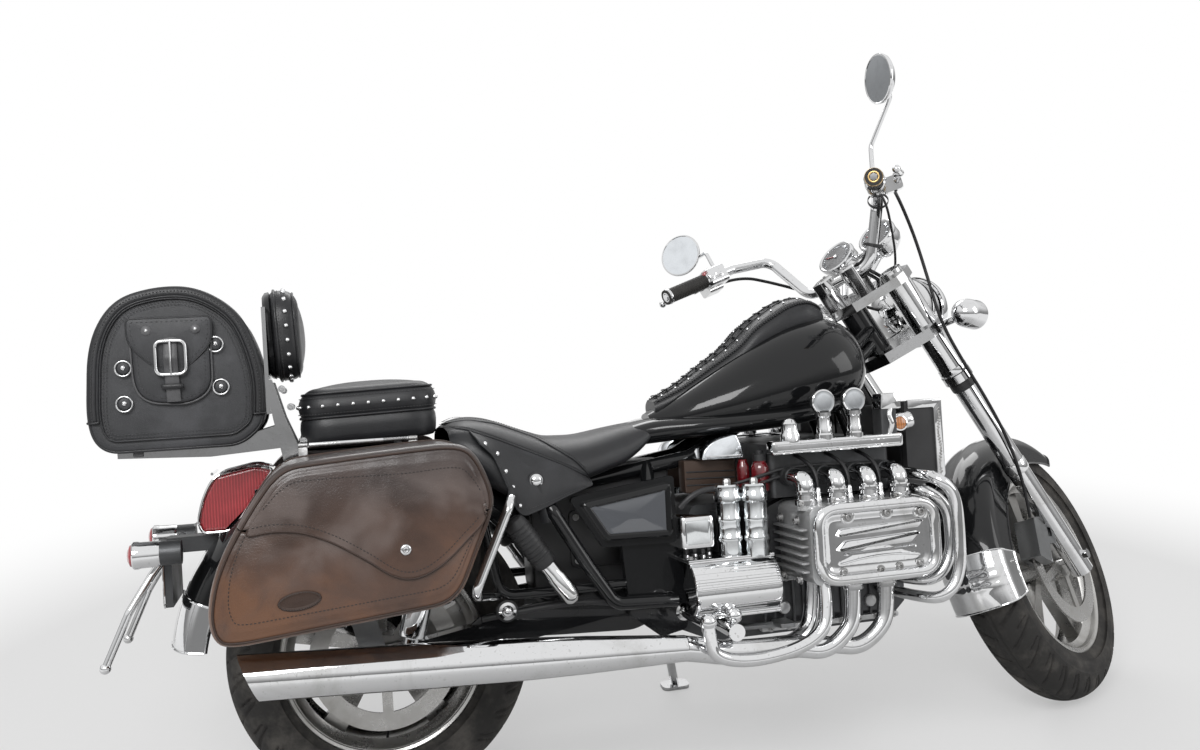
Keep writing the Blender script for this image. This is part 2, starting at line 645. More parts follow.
def disc_finish():
    """Ground brake disc: steel with fine rings scratched round the hub."""
    f = Finish("brake disc", Metallic=1.0)
    ring = f.noise(700.0, 2.0, 0.5, f.spot(scale=(1.0, 1.0, 0.2)))
    broad = f.noise(12.0, 3.0, 0.5)
    return f.to(Base_Color=f.mix(broad, (0.42, 0.42, 0.41), (0.60, 0.60, 0.59)), Roughness=ring * 0.15 + 0.2,
                Normal=f.bump(ring, 0.1, 0.0004))


def dress(key, *names):
    """Gives every material slot of the named nodes one finish."""
    for name in names:
        for place in NODES[name].material_slots:
            place.material = paint(key)


# ------------------------------------------------------------------ settings
class CruiserFinish(PropertyGroup):
    saddle_leather: FloatVectorProperty(
        name="Saddle leather", description="Colour of the oiled brown leather", subtype="COLOR",
        default=(0.088, 0.045, 0.029), min=0, max=1)
    black_leather: FloatVectorProperty(
        name="Black leather", description="Colour of the black leather", subtype="COLOR",
        default=(0.016, 0.0165, 0.0185), min=0, max=1)


class CruiserShape(PropertyGroup):
    bag_bulge: FloatProperty(
        name="Bag bulge", description="How far the outer face of a saddlebag swells", default=9.0, min=0, max=10)
    tread_depth: FloatProperty(
        name="Tread depth", description="Depth of the tyre grooves in millimetres", default=4.5, min=0, max=8)
    stud_size: FloatProperty(
        name="Stud size", description="Radius of the leather studs in millimetres", default=4.6, min=2, max=8)
    ribs: IntProperty(name="Cover ribs", description="Ribs round a gearbox cover", default=9, min=4, max=16)


class CruiserStage(PropertyGroup):
    key: FloatProperty(name="Key light", description="Power of the main soft lamp", default=120.0, min=0,
                       subtype="POWER")
    sky: FloatProperty(name="Sky", description="Strength of the soft sky", default=0.50, min=0, max=2)
    floor: FloatVectorProperty(
        name="Floor", description="Colour of the floor", subtype="COLOR", default=(0.66, 0.66, 0.66), min=0, max=1)
    focal: FloatProperty(name="Focal length", description="Lens of the camera", default=33.70, min=10,
                         subtype="DISTANCE_CAMERA")


# ------------------------------------------------------------------ saddlebags
BAG_IN, BAG_OUT, BAG_EDGE = 200.0, 434.0, 20.0
BAG_OUTLINE = rounded([
    (-1036, 768), (-962, 774), (-830, 783), (-716, 788), (-676, 770), (-646, 700), (-644, 655), (-722, 482),
    (-1140, 444), (-1164, 464), (-1172, 512), (-1152, 594), (-1096, 690)],
    (60, 30, 60, 40, 60, 40, 40, 50, 50, 20, 40, 60, 80), 7)


def split_level(y):
    """Height where lid and body part, on a line that falls from the inner edge to the outer face."""
    return 762.0 - (np.abs(y) - 212.0) * 126.0 / 262.0


def side_of(outline, level, low, count=110):
    """The stretch of a closed outline below or above a level, front end first, in even steps."""
    ring = even(outline, 700, closed=True)
    keep = ring[:, 1] < level if low else ring[:, 1] > level
    start = int(np.flatnonzero(keep & ~np.roll(keep, 1))[0])
    part = even(np.roll(ring, -start, 0)[:int(keep.sum())], count)
    return part if part[0, 0] > part[-1, 0] else part[::-1]


def bag_swell(x, z, amount):
    """Bulge of the outer face: nothing at the outline, full 110 mm inside it, on a parabola."""
    ring = even(BAG_OUTLINE, 260, closed=True)
    reach = np.sqrt(np.min((x[..., None] - ring[:, 0]) ** 2 + (z[..., None] - ring[:, 1]) ** 2, axis=-1))
    return amount * (1 - (1 - np.clip(reach / 110.0, 0, 1)) ** 2)


def bag_band(low, lift=0.0):
    """Gusset rows from the inner edge to the outer face, pulled in between its seams, then round the edge."""
    depth = np.linspace(0, 1, 15)
    rows = [(BAG_IN + (BAG_OUT - BAG_EDGE - BAG_IN) * d, 3.5 * np.sin(np.pi * d) ** 0.8) for d in depth]
    rows += [(BAG_OUT + lift - BAG_EDGE * (1 - np.sin(a)),
              BAG_EDGE * (1 - np.cos(a))) for a in np.radians((14, 28, 42, 56, 70, 82, 90))]
    lines = []
    for y, draw in rows:
        line = side_of(inset(BAG_OUTLINE, draw) if draw > 0.1 else BAG_OUTLINE,
                       split_level(min(y, BAG_OUT)) + (-1.2 if low else 1.2), low)
        lines.append(np.column_stack((line[:, 0], np.full(len(line), -y), line[:, 1])))
    return np.stack(lines)


def face_rows(edge, target, lift, swell, count=26, side=-1.0):
    """Face between an edge line and a target line: straight blends, with the bulge and lift added outward."""
    t = np.linspace(0, 1, count)[1:, None, None]
    flat = edge[None, :, (0, 2)] * (1 - t) + target[None] * t
    y = side * (BAG_OUT + lift + bag_swell(flat[..., 0], flat[..., 1], swell))
    return np.concatenate((edge[None], np.stack((flat[..., 0], y, flat[..., 1]), -1)))


def flap_line(start, end, count=110):
    """Lower edge of the flap: a curve from the front of the bag down to its tongue and back up to the rear."""
    through = [start, (-668, 637), (-700, 606), (-738, 572), (-776, 549), (-812, 542), (-846, 553), (-890, 585),
               (-948, 622), (-1000, 644), (-1050, 650), (-1092, 646), end]
    return even(curve(through, 300), count)


def saddlebag(context, side):
    """Body and lid shells of one bag, with piping, thread, badge and lock."""
    shape = context.scene.cruiser_shape
    name, hand = ("right", lambda p: p) if side < 0 else ("left", mirrored)
    lid_body = "lid_" + name
    swell = shape.bag_bulge
    # body
    band = bag_band(True)
    edge = band[-1]
    split = split_level(BAG_OUT) - 1.2
    target = np.column_stack((np.linspace(edge[0, 0], edge[-1, 0], 110), np.full(110, split)))
    body = Piece("saddlebag_body_" + name, "chassis", "brown_leather", paint("brown_leather"))
    outer = face_rows(edge, target, 0.0, swell)
    body.grid(hand(np.concatenate((band, outer[1:]))))
    inner_target = np.column_stack((np.linspace(band[0, 0, 0], band[0, -1, 0], 110), np.full(110, band[0, 0, 2])))
    t = np.linspace(0, 1, 10)[:, None, None]
    flat = band[0][None, :, (0, 2)] * (1 - t) + inner_target[None] * t
    body.grid(hand(np.stack((flat[..., 0], np.full(flat.shape[:2], -BAG_IN), flat[..., 1]), -1)))
    made = body.build(50.0, thickness=0.0038)
    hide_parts("saddlebag_" + name)
    trim = Piece("saddlebag_body_trim_" + name, "chassis", "brown_leather", paint("brown_edge"), paint("brown_thread"))
    bead = band[-4] + (0, -1.2, 0)
    trim.pipe(hand, 0, bead, 2.6, 8)
    trim.pipe(hand, 0, band[1], 2.4, 8)
    row = outer[3] + (0, -0.5, 0)
    stitches(trim, hand(row[2:-2]), 7.0, 4.6, 0.85, 1)
    oval = np.linspace(0, 2 * np.pi, 48, endpoint=False)
    tilt = np.radians(6)
    def oval_rows(scales):
        rows = []
        for a, b, lift in scales:
            x, z = a * np.cos(oval), b * np.sin(oval)
            px, pz = -1010 + x * np.cos(tilt) - z * np.sin(tilt), 522 + x * np.sin(tilt) + z * np.cos(tilt)
            rows.append(np.column_stack((px, -(BAG_OUT + lift + bag_swell(px, pz, swell)), pz)))
        return np.stack(rows)
    trim.grid(hand(oval_rows([(39, 17.5, -1), (39, 17.5, 2.0), (37.5, 16, 3.6), (35, 13.6, 3.8), (33, 11.8, 2.6),
                              (31, 10, 2.4), (0.1, 0.1, 3.0)])), 0, around=True)
    stitches(trim, hand(oval_rows([(36.4, 15.0, 3.9)])[0]), 4.6, 3.2, 0.7, 1, True)
    trim.build(50.0)
    # lid
    lid_band = bag_band(False, 4.6)
    lid_edge = lid_band[-1]
    boundary = flap_line(lid_edge[0, (0, 2)], lid_edge[-1, (0, 2)])
    lid = Piece("saddlebag_flap_" + name, lid_body, "brown_leather", paint("brown_leather"))
    lid_face = face_rows(lid_edge, boundary, 4.6, swell, 34)
    lid.grid(hand(np.concatenate((lid_band, lid_face[1:]))))
    top = np.column_stack((np.linspace(lid_band[0, 0, 0], lid_band[0, -1, 0], 110), np.full(110, lid_band[0, 0, 2])))
    t = np.linspace(0, 1, 6)[:, None, None]
    flat = lid_band[0][None, :, (0, 2)] * (1 - t) + top[None] * t
    lid.grid(hand(np.stack((flat[..., 0], np.full(flat.shape[:2], -BAG_IN), flat[..., 1]), -1)))
    made = lid.build(50.0, thickness=0.0038)
    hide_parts("saddlebag_lid_" + name)
    edge_piece = Piece("saddlebag_flap_trim_" + name, lid_body, "brown_leather",
                       paint("brown_edge"), paint("brown_thread"), paint("chrome"))
    rim = lid_face[-1] + (0, 1.6, 0)
    edge_piece.pipe(hand, 0, rim, 2.3, 8)
    edge_piece.pipe(hand, 0, lid_band[-4] + (0, -1.0, 0), 2.5, 8)
    edge_piece.pipe(hand, 0, lid_band[1], 2.4, 8)
    shift = unit(np.gradient(lid_face[-1][:, (0, 2)], axis=0))
    up = np.column_stack((-shift[:, 1], shift[:, 0]))
    up *= np.sign(up[:, 1:2])
    inside = lid_face[-1][:, (0, 2)] + up * 13.0
    thread = np.column_stack((inside[:, 0], -(BAG_OUT + 5.0 + bag_swell(inside[:, 0], inside[:, 1], swell)),
                              inside[:, 1]))
    stitches(edge_piece, hand(thread[5:-5]), 7.0, 4.6, 0.85, 1)
    top_row = lid_face[4] + (0, -0.5, 0)
    stitches(edge_piece, hand(top_row[10:-10]), 7.0, 4.6, 0.85, 1)
    spot = np.array((-817.0, 597.0))
    out = float(BAG_OUT + 4.2 + bag_swell(spot[:1], spot[1:], swell)[0])
    lock = [(0.0, 3.2), (3.2, 3.4), (3.6, 4.6), (6.4, 5.2), (9.2, 4.4), (10.6, 1.8), (10.6, -1.0)]
    edge_piece.spun(hand, 2, lock, (-817.0, -out, 597.0), (0, -1.0, 0), 32)
    edge_piece.grid(hand(block(box_outline(-817.8, 593, -816.2, 601, 0.5), -out - 4.3, -out - 3.2, 0.2)), 0,
                    around=True)
    for x in (-990, -770):
        edge_piece.pipe(hand, 2, np.array([(x + 12, -BAG_IN + 1, 793.0), (x + 210, -BAG_IN + 1, 793.0)])[:,
                :] if x < -900 else np.array([(x - 12, -BAG_IN + 1, 793.0), (x - 60, -BAG_IN + 1, 793.0)]), 4.5, 12)
    edge_piece.build(50.0)
    hinge = Piece("saddlebag_hinge_" + name, "chassis", "steel", paint("steel"))
    for x in (-990, -770):
        hinge.pipe(hand, 0, [(x - 9, -BAG_IN + 1, 793.0), (x + 9, -BAG_IN + 1, 793.0)], 5.0, 12)
        hinge.slab(hand, 0, box_outline(x - 9, 735, x + 9, 790, 2), -BAG_IN - 1, -BAG_IN + 3, 0.5)
    hinge.build(40.0)


# ------------------------------------------------------------------ tyres
def tyre(context, name, body, wheel, place, radius, rim, width, blocks):
    """Tyre skin: crown arc and side walls turned round the axle, less the tread grooves.

    The grooves are bands of constant phase, where phase is the turn times the block count plus a slant that
    grows with the distance from the middle; every second one is short.
    """
    depth = context.scene.cruiser_shape.tread_depth
    crown, bead = width / 2, width * 0.36
    arc = np.radians(np.linspace(-78, 78, 51))
    top = np.column_stack((radius - crown + crown * np.cos(arc), crown * np.sin(arc)))
    wall = even(curve([top[-1], (radius - crown - 8, crown * 0.945), (rim + 34, crown * 0.90), (rim + 14, bead + 6),
                       (rim + 4, bead + 3), (rim - 2, bead)], 40), 10)[1:]
    profile = np.concatenate(((wall * (1, -1))[::-1], top, wall))
    wide = np.concatenate((-np.ones(len(wall)) * 1.5, arc / np.radians(78), np.ones(len(wall)) * 1.5))
    count = 672
    turn = np.linspace(0, 2 * np.pi, count, endpoint=False)[:, None]
    side = np.abs(wide)[None]
    phase = turn / (2 * np.pi) * blocks + 0.5 * (wide[None] > 0) + 1.05 * side ** 1.25
    def groove(at, half):
        gap = np.abs((at + 0.5) % 1.0 - 0.5)
        return np.clip((half - gap) / (half * 0.45), 0, 1)
    long = groove(phase, 0.075) * np.clip((side - 0.10) / 0.05, 0, 1) * np.clip((0.86 - side) / 0.06, 0, 1)
    short = groove(phase + 0.5 - 0.35 * side, 0.055) * np.clip((side - 0.42) / 0.05, 0,
                                                               1) * np.clip((0.80 - side) / 0.05, 0, 1)
    middle = groove(wide[None] - 0.02 + 0 * turn, 0.028) * 0.8
    cut = np.clip(np.maximum(np.maximum(long, short), middle), 0, 1) * depth
    ribs = 0.5 * np.clip(np.cos(3 * 2 * np.pi * (profile[:, 0] - rim) / 60), 0, 1) * (side > 1.2)
    normal = unit(np.stack((np.cos(wide * np.radians(78)), np.sin(wide * np.radians(78))), -1))
    normal[side[0] > 1.2] = np.column_stack((np.zeros(2 * len(wall)), np.sign(wide[side[0] > 1.2])))
    shape = profile[None] + (ribs - cut)[..., None] * normal[None]
    x, z = shape[..., 0] * np.cos(turn), shape[..., 0] * np.sin(turn)
    grid = np.stack((wheel[0] + x, shape[..., 1], wheel[2] + z), -1)
    piece = Piece(name, body, "tyre", paint("tyre"), place=place)
    piece.grid(grid, along=True)
    inner = np.stack((np.stack((wheel[0] + (rim - 2) * np.cos(turn[:, 0]), np.full(count, -bead),
                                wheel[2] + (rim - 2) * np.sin(turn[:, 0])), -1),
                      np.stack((wheel[0] + (rim - 2) * np.cos(turn[:, 0]), np.full(count, bead),
                                wheel[2] + (rim - 2) * np.sin(turn[:, 0])), -1)), 1)
    piece.grid(inner, along=True)
    return piece.build(32.0)


# ------------------------------------------------------------------ seats
SEAT = np.array([
    (-206, 78, 762, 792), (-240, 98, 730, 789), (-290, 118, 700, 783), (-380, 150, 676, 768), (-460, 178, 655, 771),
    (-540, 190, 636, 800), (-600, 190, 672, 824), (-650, 178, 730, 827), (-684, 156, 758, 812),
    (-694, 140, 772, 800)], float)
SEAT_SECTION = [(0, 1), (0.34, 0.985), (0.62, 0.90), (0.84, 0.72), (0.95, 0.5), (0.99, 0.28), (0.97, 0.10), (0.84, 0.0),
                (0.42, -0.01), (0, 0)]


def seat_surface(x, around):
    """Seat skin: stations blended along X, each a closed section from the crest round to the keel on both sides."""
    order = np.argsort(SEAT[:, 0])
    half, low, high = (np.interp(x, SEAT[order, 0], SEAT[order, k]) for k in (1, 2, 3))
    section = curve(SEAT_SECTION, 121)
    at = np.abs(around) * 120
    i = np.minimum(at.astype(int), 119)
    f = (at - i)[..., None]
    p = section[i] * (1 - f) + section[i + 1] * f
    y = np.sign(around) * p[..., 0] * half
    z = low + p[..., 1] * (high - low)
    return np.stack((x + 0 * y, y, z), -1)


def smooth_steps(values, width, passes=2):
    """Moving average along the first axis, ends held."""
    out = values
    for _ in range(passes):
        padded = np.concatenate((np.repeat(out[:1], width, 0), out, np.repeat(out[-1:], width, 0)))
        total = np.cumsum(padded, axis=0)
        out = (total[2 * width:] - total[:-2 * width]) / (2 * width)
    return out


LOW_SEAM = np.array([(-384, 677), (-437, 707), (-501, 737), (-585, 775), (-648, 801), (-690, 806)], float)
TOP_SEAM = np.array([(-384, 680), (-417, 719), (-492, 772), (-578, 808), (-642, 821), (-688, 812)], float)
SKIRT_EDGE = [(-384, 665), (-445, 648), (-501, 627), (-548, 612), (-562, 626), (-576, 668), (-590, 706), (-604, 744),
              (-632, 772)]


def on_seat(grid, x, z):
    """Seat points at given X and Z on the right side: the nearest row, then the place where it crosses that height."""
    row = np.argmin(np.abs(grid[:, 0, 0][None] - x[:, None]), axis=1)
    right = grid[row][:, :grid.shape[1] // 2]
    gap = np.abs(right[..., 2] - z[:, None])
    gap[:, :6] = 1e6
    pick = np.argmin(gap, axis=1)
    spot = right[np.arange(len(x)), pick]
    return np.column_stack((x, spot[:, 1], z))


def rider_seat(context):
    """Saddle in soft leather with a grained valance on each side, double welt seams, studs, a concho and a strap."""
    x = np.linspace(-206, -694, 130)
    around = np.linspace(-1, 1, 181)
    grid = smooth_steps(seat_surface(x[:, None], np.broadcast_to(around, (130, 181))), 5)
    low_z = np.interp(-x, -LOW_SEAM[:, 0], LOW_SEAM[:, 1])[:, None]
    top_z = np.interp(-x, -TOP_SEAM[:, 0], TOP_SEAM[:, 1])[:, None]
    behind = np.clip((-x[:, None] - 380) / 12, 0, 1)
    side = np.sign(around)[None] * (np.abs(grid[..., 1]) > 20)
    groove = np.exp(-((grid[..., 2] - low_z) / 3.6) ** 2) + np.exp(-((grid[..., 2] - top_z) / 3.6) ** 2)
    shaped = grid.copy()
    shaped[..., 1] -= side * groove * behind * 2.6
    band = np.clip((top_z - grid[..., 2]) / 6, 0, 1) * np.clip((grid[..., 2] - low_z) / 6, 0, 1)
    shaped[..., 1] += side * band * behind * 2.2
    saddle = Piece("seat_skin", "chassis", "black_leather", paint("soft_leather"))
    saddle.grid(shaped, 0)
    made = saddle.build(60.0)
    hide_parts("rider_seat")
    trim = Piece("seat_trim", "chassis", "black_leather", paint("soft_leather"), paint("black_thread"),
                 paint("chrome"), paint("black_leather"))
    for hand in (as_given, mirrored):
        for seam, radius in ((LOW_SEAM, 2.4), (TOP_SEAM, 2.0)):
            route = even(seam, 120)
            line = smooth_steps(on_seat(shaped, route[:, 0], route[:, 1]), 4)
            trim.pipe(hand, 0, line + (0, -0.6, 0), radius, 8)
            stitches(trim, hand(line + (0, -1.6, 5.5)), 6.0, 4.0, 0.65, 1)
        # valance that hangs from the lower seam
        route = even(LOW_SEAM[:5], 110)
        top = smooth_steps(on_seat(shaped, route[:, 0], route[:, 1] - 2), 4)
        edge = even(rounded_line(SKIRT_EDGE), 110)
        low = np.column_stack((edge[:, 0],
                np.interp(-edge[:, 0], (384, 430, 500, 560, 632), (-170, -186, -200, -204, -193)), edge[:, 1]))
        t = np.linspace(0, 1, 22)[:, None, None]
        panel = top[None] * (1 - t) + low[None] * t
        panel[..., 1] -= 3.0 + 9.0 * np.sin(np.pi * t[..., 0])
        trim.grid(hand(panel), 3)
        back = panel + (0, 3.2, 0)
        trim.grid(hand(back), 3)
        rim = np.concatenate((panel[-1], panel[-2:0:-1, -1]))
        trim.pipe(hand, 3, even(rim, 200) + (0, 1.6, 0), 2.2, 8)
        trim.pipe(hand, 3, panel[:, 0] + (0, 1.6, 0), 2.2, 8)
        stitches(trim, hand(panel[-3] + (0, -0.5, 0)), 6.0, 4.0, 0.7, 1)
        spots = np.array([(-628, 766), (-603, 742), (-590, 706), (-577, 671), (-562, 632)], float) + (9, 3)
        place = np.array([panel.reshape(-1,
                3)[np.argmin(np.hypot(*(panel.reshape(-1, 3)[:, (0, 2)] - s).T))] for s in spots])
        domes(trim, hand(place + (0, -0.6, 0)), hand((0, -1.0, 0)),
              context.scene.cruiser_shape.stud_size + 0.8, 5.0, 2)
        # concho with a leather rosette behind it, and its hanging strap
        spot = panel.reshape(-1, 3)[np.argmin(np.hypot(*(panel.reshape(-1, 3)[:, (0, 2)] - (-516, 682)).T))]
        out = np.array((0, -1.0, 0))
        trim.spun(hand, 3, [(0, 3), (14, 2.6), (17.5, 1.5), (18.5, -1)], spot, out, 32)
        trim.spun(hand, 2, [(0, 8.4), (5, 8.2), (9, 7.0), (11.5, 5.0), (12.6, 3.0), (14.2, 2.8), (14.6, 1.0)], spot,
                  out, 32)
        strap = curve([spot + (0, -2, -12), spot + (3, -3, -34), spot + (8, -2, -60), spot + (16, 2, -92)], 40)
        trim.pipe(hand, 3, strap, 9.5, 12, 0.2)
    trim.build(50.0)


def rounded_line(points):
    """Open line with its inner corners softened by a three-point average of a dense copy."""
    dense = even(points, 240)
    return smooth_steps(dense, 6)


def cushion(outline, rows, place, crown, count=9):
    """Closed pad: outline rings drawn in at each level, then fans over both faces that rise toward the middle."""
    outline = np.asarray(outline, float)
    middle = outline.mean(0)
    levels = [np.column_stack((inset(outline, draw), np.full(len(outline), z))) for draw, z in rows]
    def face(ring, rise):
        t = np.linspace(0, 1, count)[1:, None, None]
        flat = ring[None, :, :2] * (1 - t) + middle * t
        z = ring[None, :, 2] + rise * (1 - (1 - t[..., 0]) ** 2.2)
        return np.concatenate((flat, z[..., None]), -1)
    first, last = face(levels[0], crown[0])[::-1], face(levels[-1], crown[1])
    return place(np.concatenate((first, np.stack(levels), last)))


def pillion(context):
    """Pillion pad: rounded rectangle with a domed top, welted at half height and studded round its upper band."""
    middle = REAR_WHEEL[0] - 5
    base = even(rounded([(-143, -145), (143, -145), (143, 145), (-143, 145)], (70, 70, 70, 70), 12), 180, True)
    lay = lambda p: np.stack((p[..., 0] + middle, p[..., 1], p[..., 2] + np.clip(p[..., 0] / 143, -1, 1) * 4), -1)
    a = np.radians(np.linspace(0, 90, 9))
    rows = [(16, 791), (7, 793), (2, 799), (0.5, 810), (-0.5, 826), (0.5, 838), (3.6, 845), (4.2, 848), (3.0, 851),
            (-0.5, 858), (-2.5, 868)]
    rows += [(-2.5 + 40 * (1 - np.cos(t)), 870 + 40 * np.sin(t)) for t in a]
    pad = Piece("pillion_skin", "chassis", "black_leather", paint("soft_leather"))
    grid = cushion(base, rows, lay, (-1.0, 10.0))
    pad.grid(grid, 0, around=True)
    made = pad.build(60.0)
    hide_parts("pillion_pad")
    trim = Piece("pillion_trim", "chassis", "black_leather", paint("soft_leather"), paint("black_thread"),
                 paint("chrome"))
    def ring(draw, z, count=180):
        line = even(inset(base, draw), count, True)
        return lay(np.column_stack((line, np.full(count, z))))
    trim.loop(as_given, 0, ring(1.2, 848), 2.8, 8)
    trim.loop(as_given, 0, ring(6, 898, 180), 2.3, 8)
    stitches(trim, ring(-2.6, 856), 6.5, 4.2, 0.7, 1, True)
    stitches(trim, ring(0.0, 890), 6.5, 4.2, 0.7, 1, True)
    spots = ring(-2.8, 872, 34)
    domes(trim, spots, unit((spots - (middle, 0, 872)) * (1, 1, 0)), context.scene.cruiser_shape.stud_size, 4.2, 2)
    trim.build(50.0)


def backrest(context):
    """Passenger backrest: an oval pad that swells forward, a plastic back shell and studs round the rim."""
    foot = -1050.0
    base = even(rounded([(-130, 931), (130, 931), (130, 1121), (-130, 1121)], (80, 80, 80, 80), 14), 170, True)
    lay = lambda p: np.stack((foot + p[..., 2] + (p[..., 1] - 1026) * -0.04, p[..., 0], p[..., 1]), -1)
    rows = [(18, 10), (8, 11), (3, 16), (0.5, 24), (0, 34), (1, 42)]
    rows += [(1 + 34 * (1 - np.cos(t)), 42 + 26 * np.sin(t)) for t in np.radians(np.linspace(8, 90, 9))]
    pad = Piece("backrest_skin", "chassis", "black_leather", paint("soft_leather"))
    pad.grid(cushion(base, rows, lay, (0.0, 9.0)), 0, around=True)
    made = pad.build(60.0)
    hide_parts("backrest_pad")
    trim = Piece("backrest_trim", "chassis", "black_leather", paint("soft_leather"), paint("black_thread"),
                 paint("chrome"), paint("black"))
    def ring(draw, x, count=150):
        line = even(inset(base, draw), count, True)
        return lay(np.column_stack((line, np.full(count, x))))
    trim.loop(as_given, 0, ring(-0.5, 20), 3.0, 8)
    trim.loop(as_given, 0, ring(6.5, 58), 2.4, 8)
    stitches(trim, ring(-0.6, 27), 6.5, 4.2, 0.7, 1, True)
    spots = ring(-0.6, 40, 26)
    domes(trim, spots, unit((spots - (foot + 34, 0, 1026.0)) * (0.25, 1, 1)), 5.2, 4.6, 2)
    shell = [(26, -5), (12, -4), (4, 2), (2, 10), (6, 12)]
    trim.grid(cushion(base, shell, lay, (-3.0, 0.0)), 3, around=True)
    trim.build(50.0)


# ------------------------------------------------------------------ tail bag
TAIL_OUTLINE = even(rounded([
    (-1066, 840), (-1060, 930), (-1076, 1006), (-1106, 1074), (-1180, 1122), (-1260, 1124), (-1338, 1100),
    (-1384, 1020), (-1394, 850), (-1366, 803), (-1110, 803)], (24, 60, 50, 50, 60, 60, 60, 60, 60, 30, 26), 9), 200,
    True)
TAIL_HALF = 165.0


def tail_rows(rows, outline=TAIL_OUTLINE):
    """Rings of the bag's outline: drawn in by the first number and laid at the second number's Y."""
    rings = [inset(outline, draw) for draw, _ in rows]
    return np.stack([np.column_stack((ring[:, 0], np.full(len(ring), y), ring[:, 1])) for ring,
                     (_, y) in zip(rings, rows)])


def flat_panel(piece, outline, y, rise, finish, edge=4.0, hand=as_given, swell=3.0):
    """Sewn-on leather panel: the outline on the bag, a rounded edge, then blends to the middle that swell."""
    outline = even(np.asarray(outline, float), 96, True)
    middle = outline.mean(0)
    rows = []
    for draw, lift in ((0.0, -0.5), (0.0, rise * 0.6), (edge * 0.3, rise * 0.92), (edge, rise)):
        ring = inset(outline, draw)
        rows.append(np.column_stack((ring[:, 0], np.full(96, y - lift), ring[:, 1])))
    ring = rows[-1]
    t = np.linspace(0, 1, 9)[1:, None]
    for step in t[:, 0]:
        flat = ring[:, (0, 2)] * (1 - step) + middle * step
        rows.append(np.column_stack((flat[:, 0], np.full(96, y - rise - swell * (1 - (1 - step) ** 2)), flat[:, 1])))
    piece.grid(hand(np.stack(rows)), finish, around=True)


def ring_concho(piece, spot, hand, finish, leather):
    """A small leather rosette with a domed stud, and a steel ring that hangs round it."""
    x, y, z = spot
    axis = np.array((0, -1.0, 0))
    piece.spun(hand, leather, [(0, 3.0), (9, 2.8), (12.5, 1.6), (13.5, 0.0), (13.5, -2)], np.array(spot), axis, 24)
    piece.spun(hand, finish, [(0, 7.0), (2.6, 6.4), (4.6, 4.8), (5.4, 3.0), (5.4, 1.0)], np.array(spot), axis, 16)
    a = np.linspace(0, 2 * np.pi, 32, endpoint=False)
    loop = np.column_stack((x + 15.0 * np.cos(a), np.full(32, y - 3.6), z - 1.5 + 15.0 * np.sin(a)))
    piece.loop(hand, finish, loop, 1.7, 8)


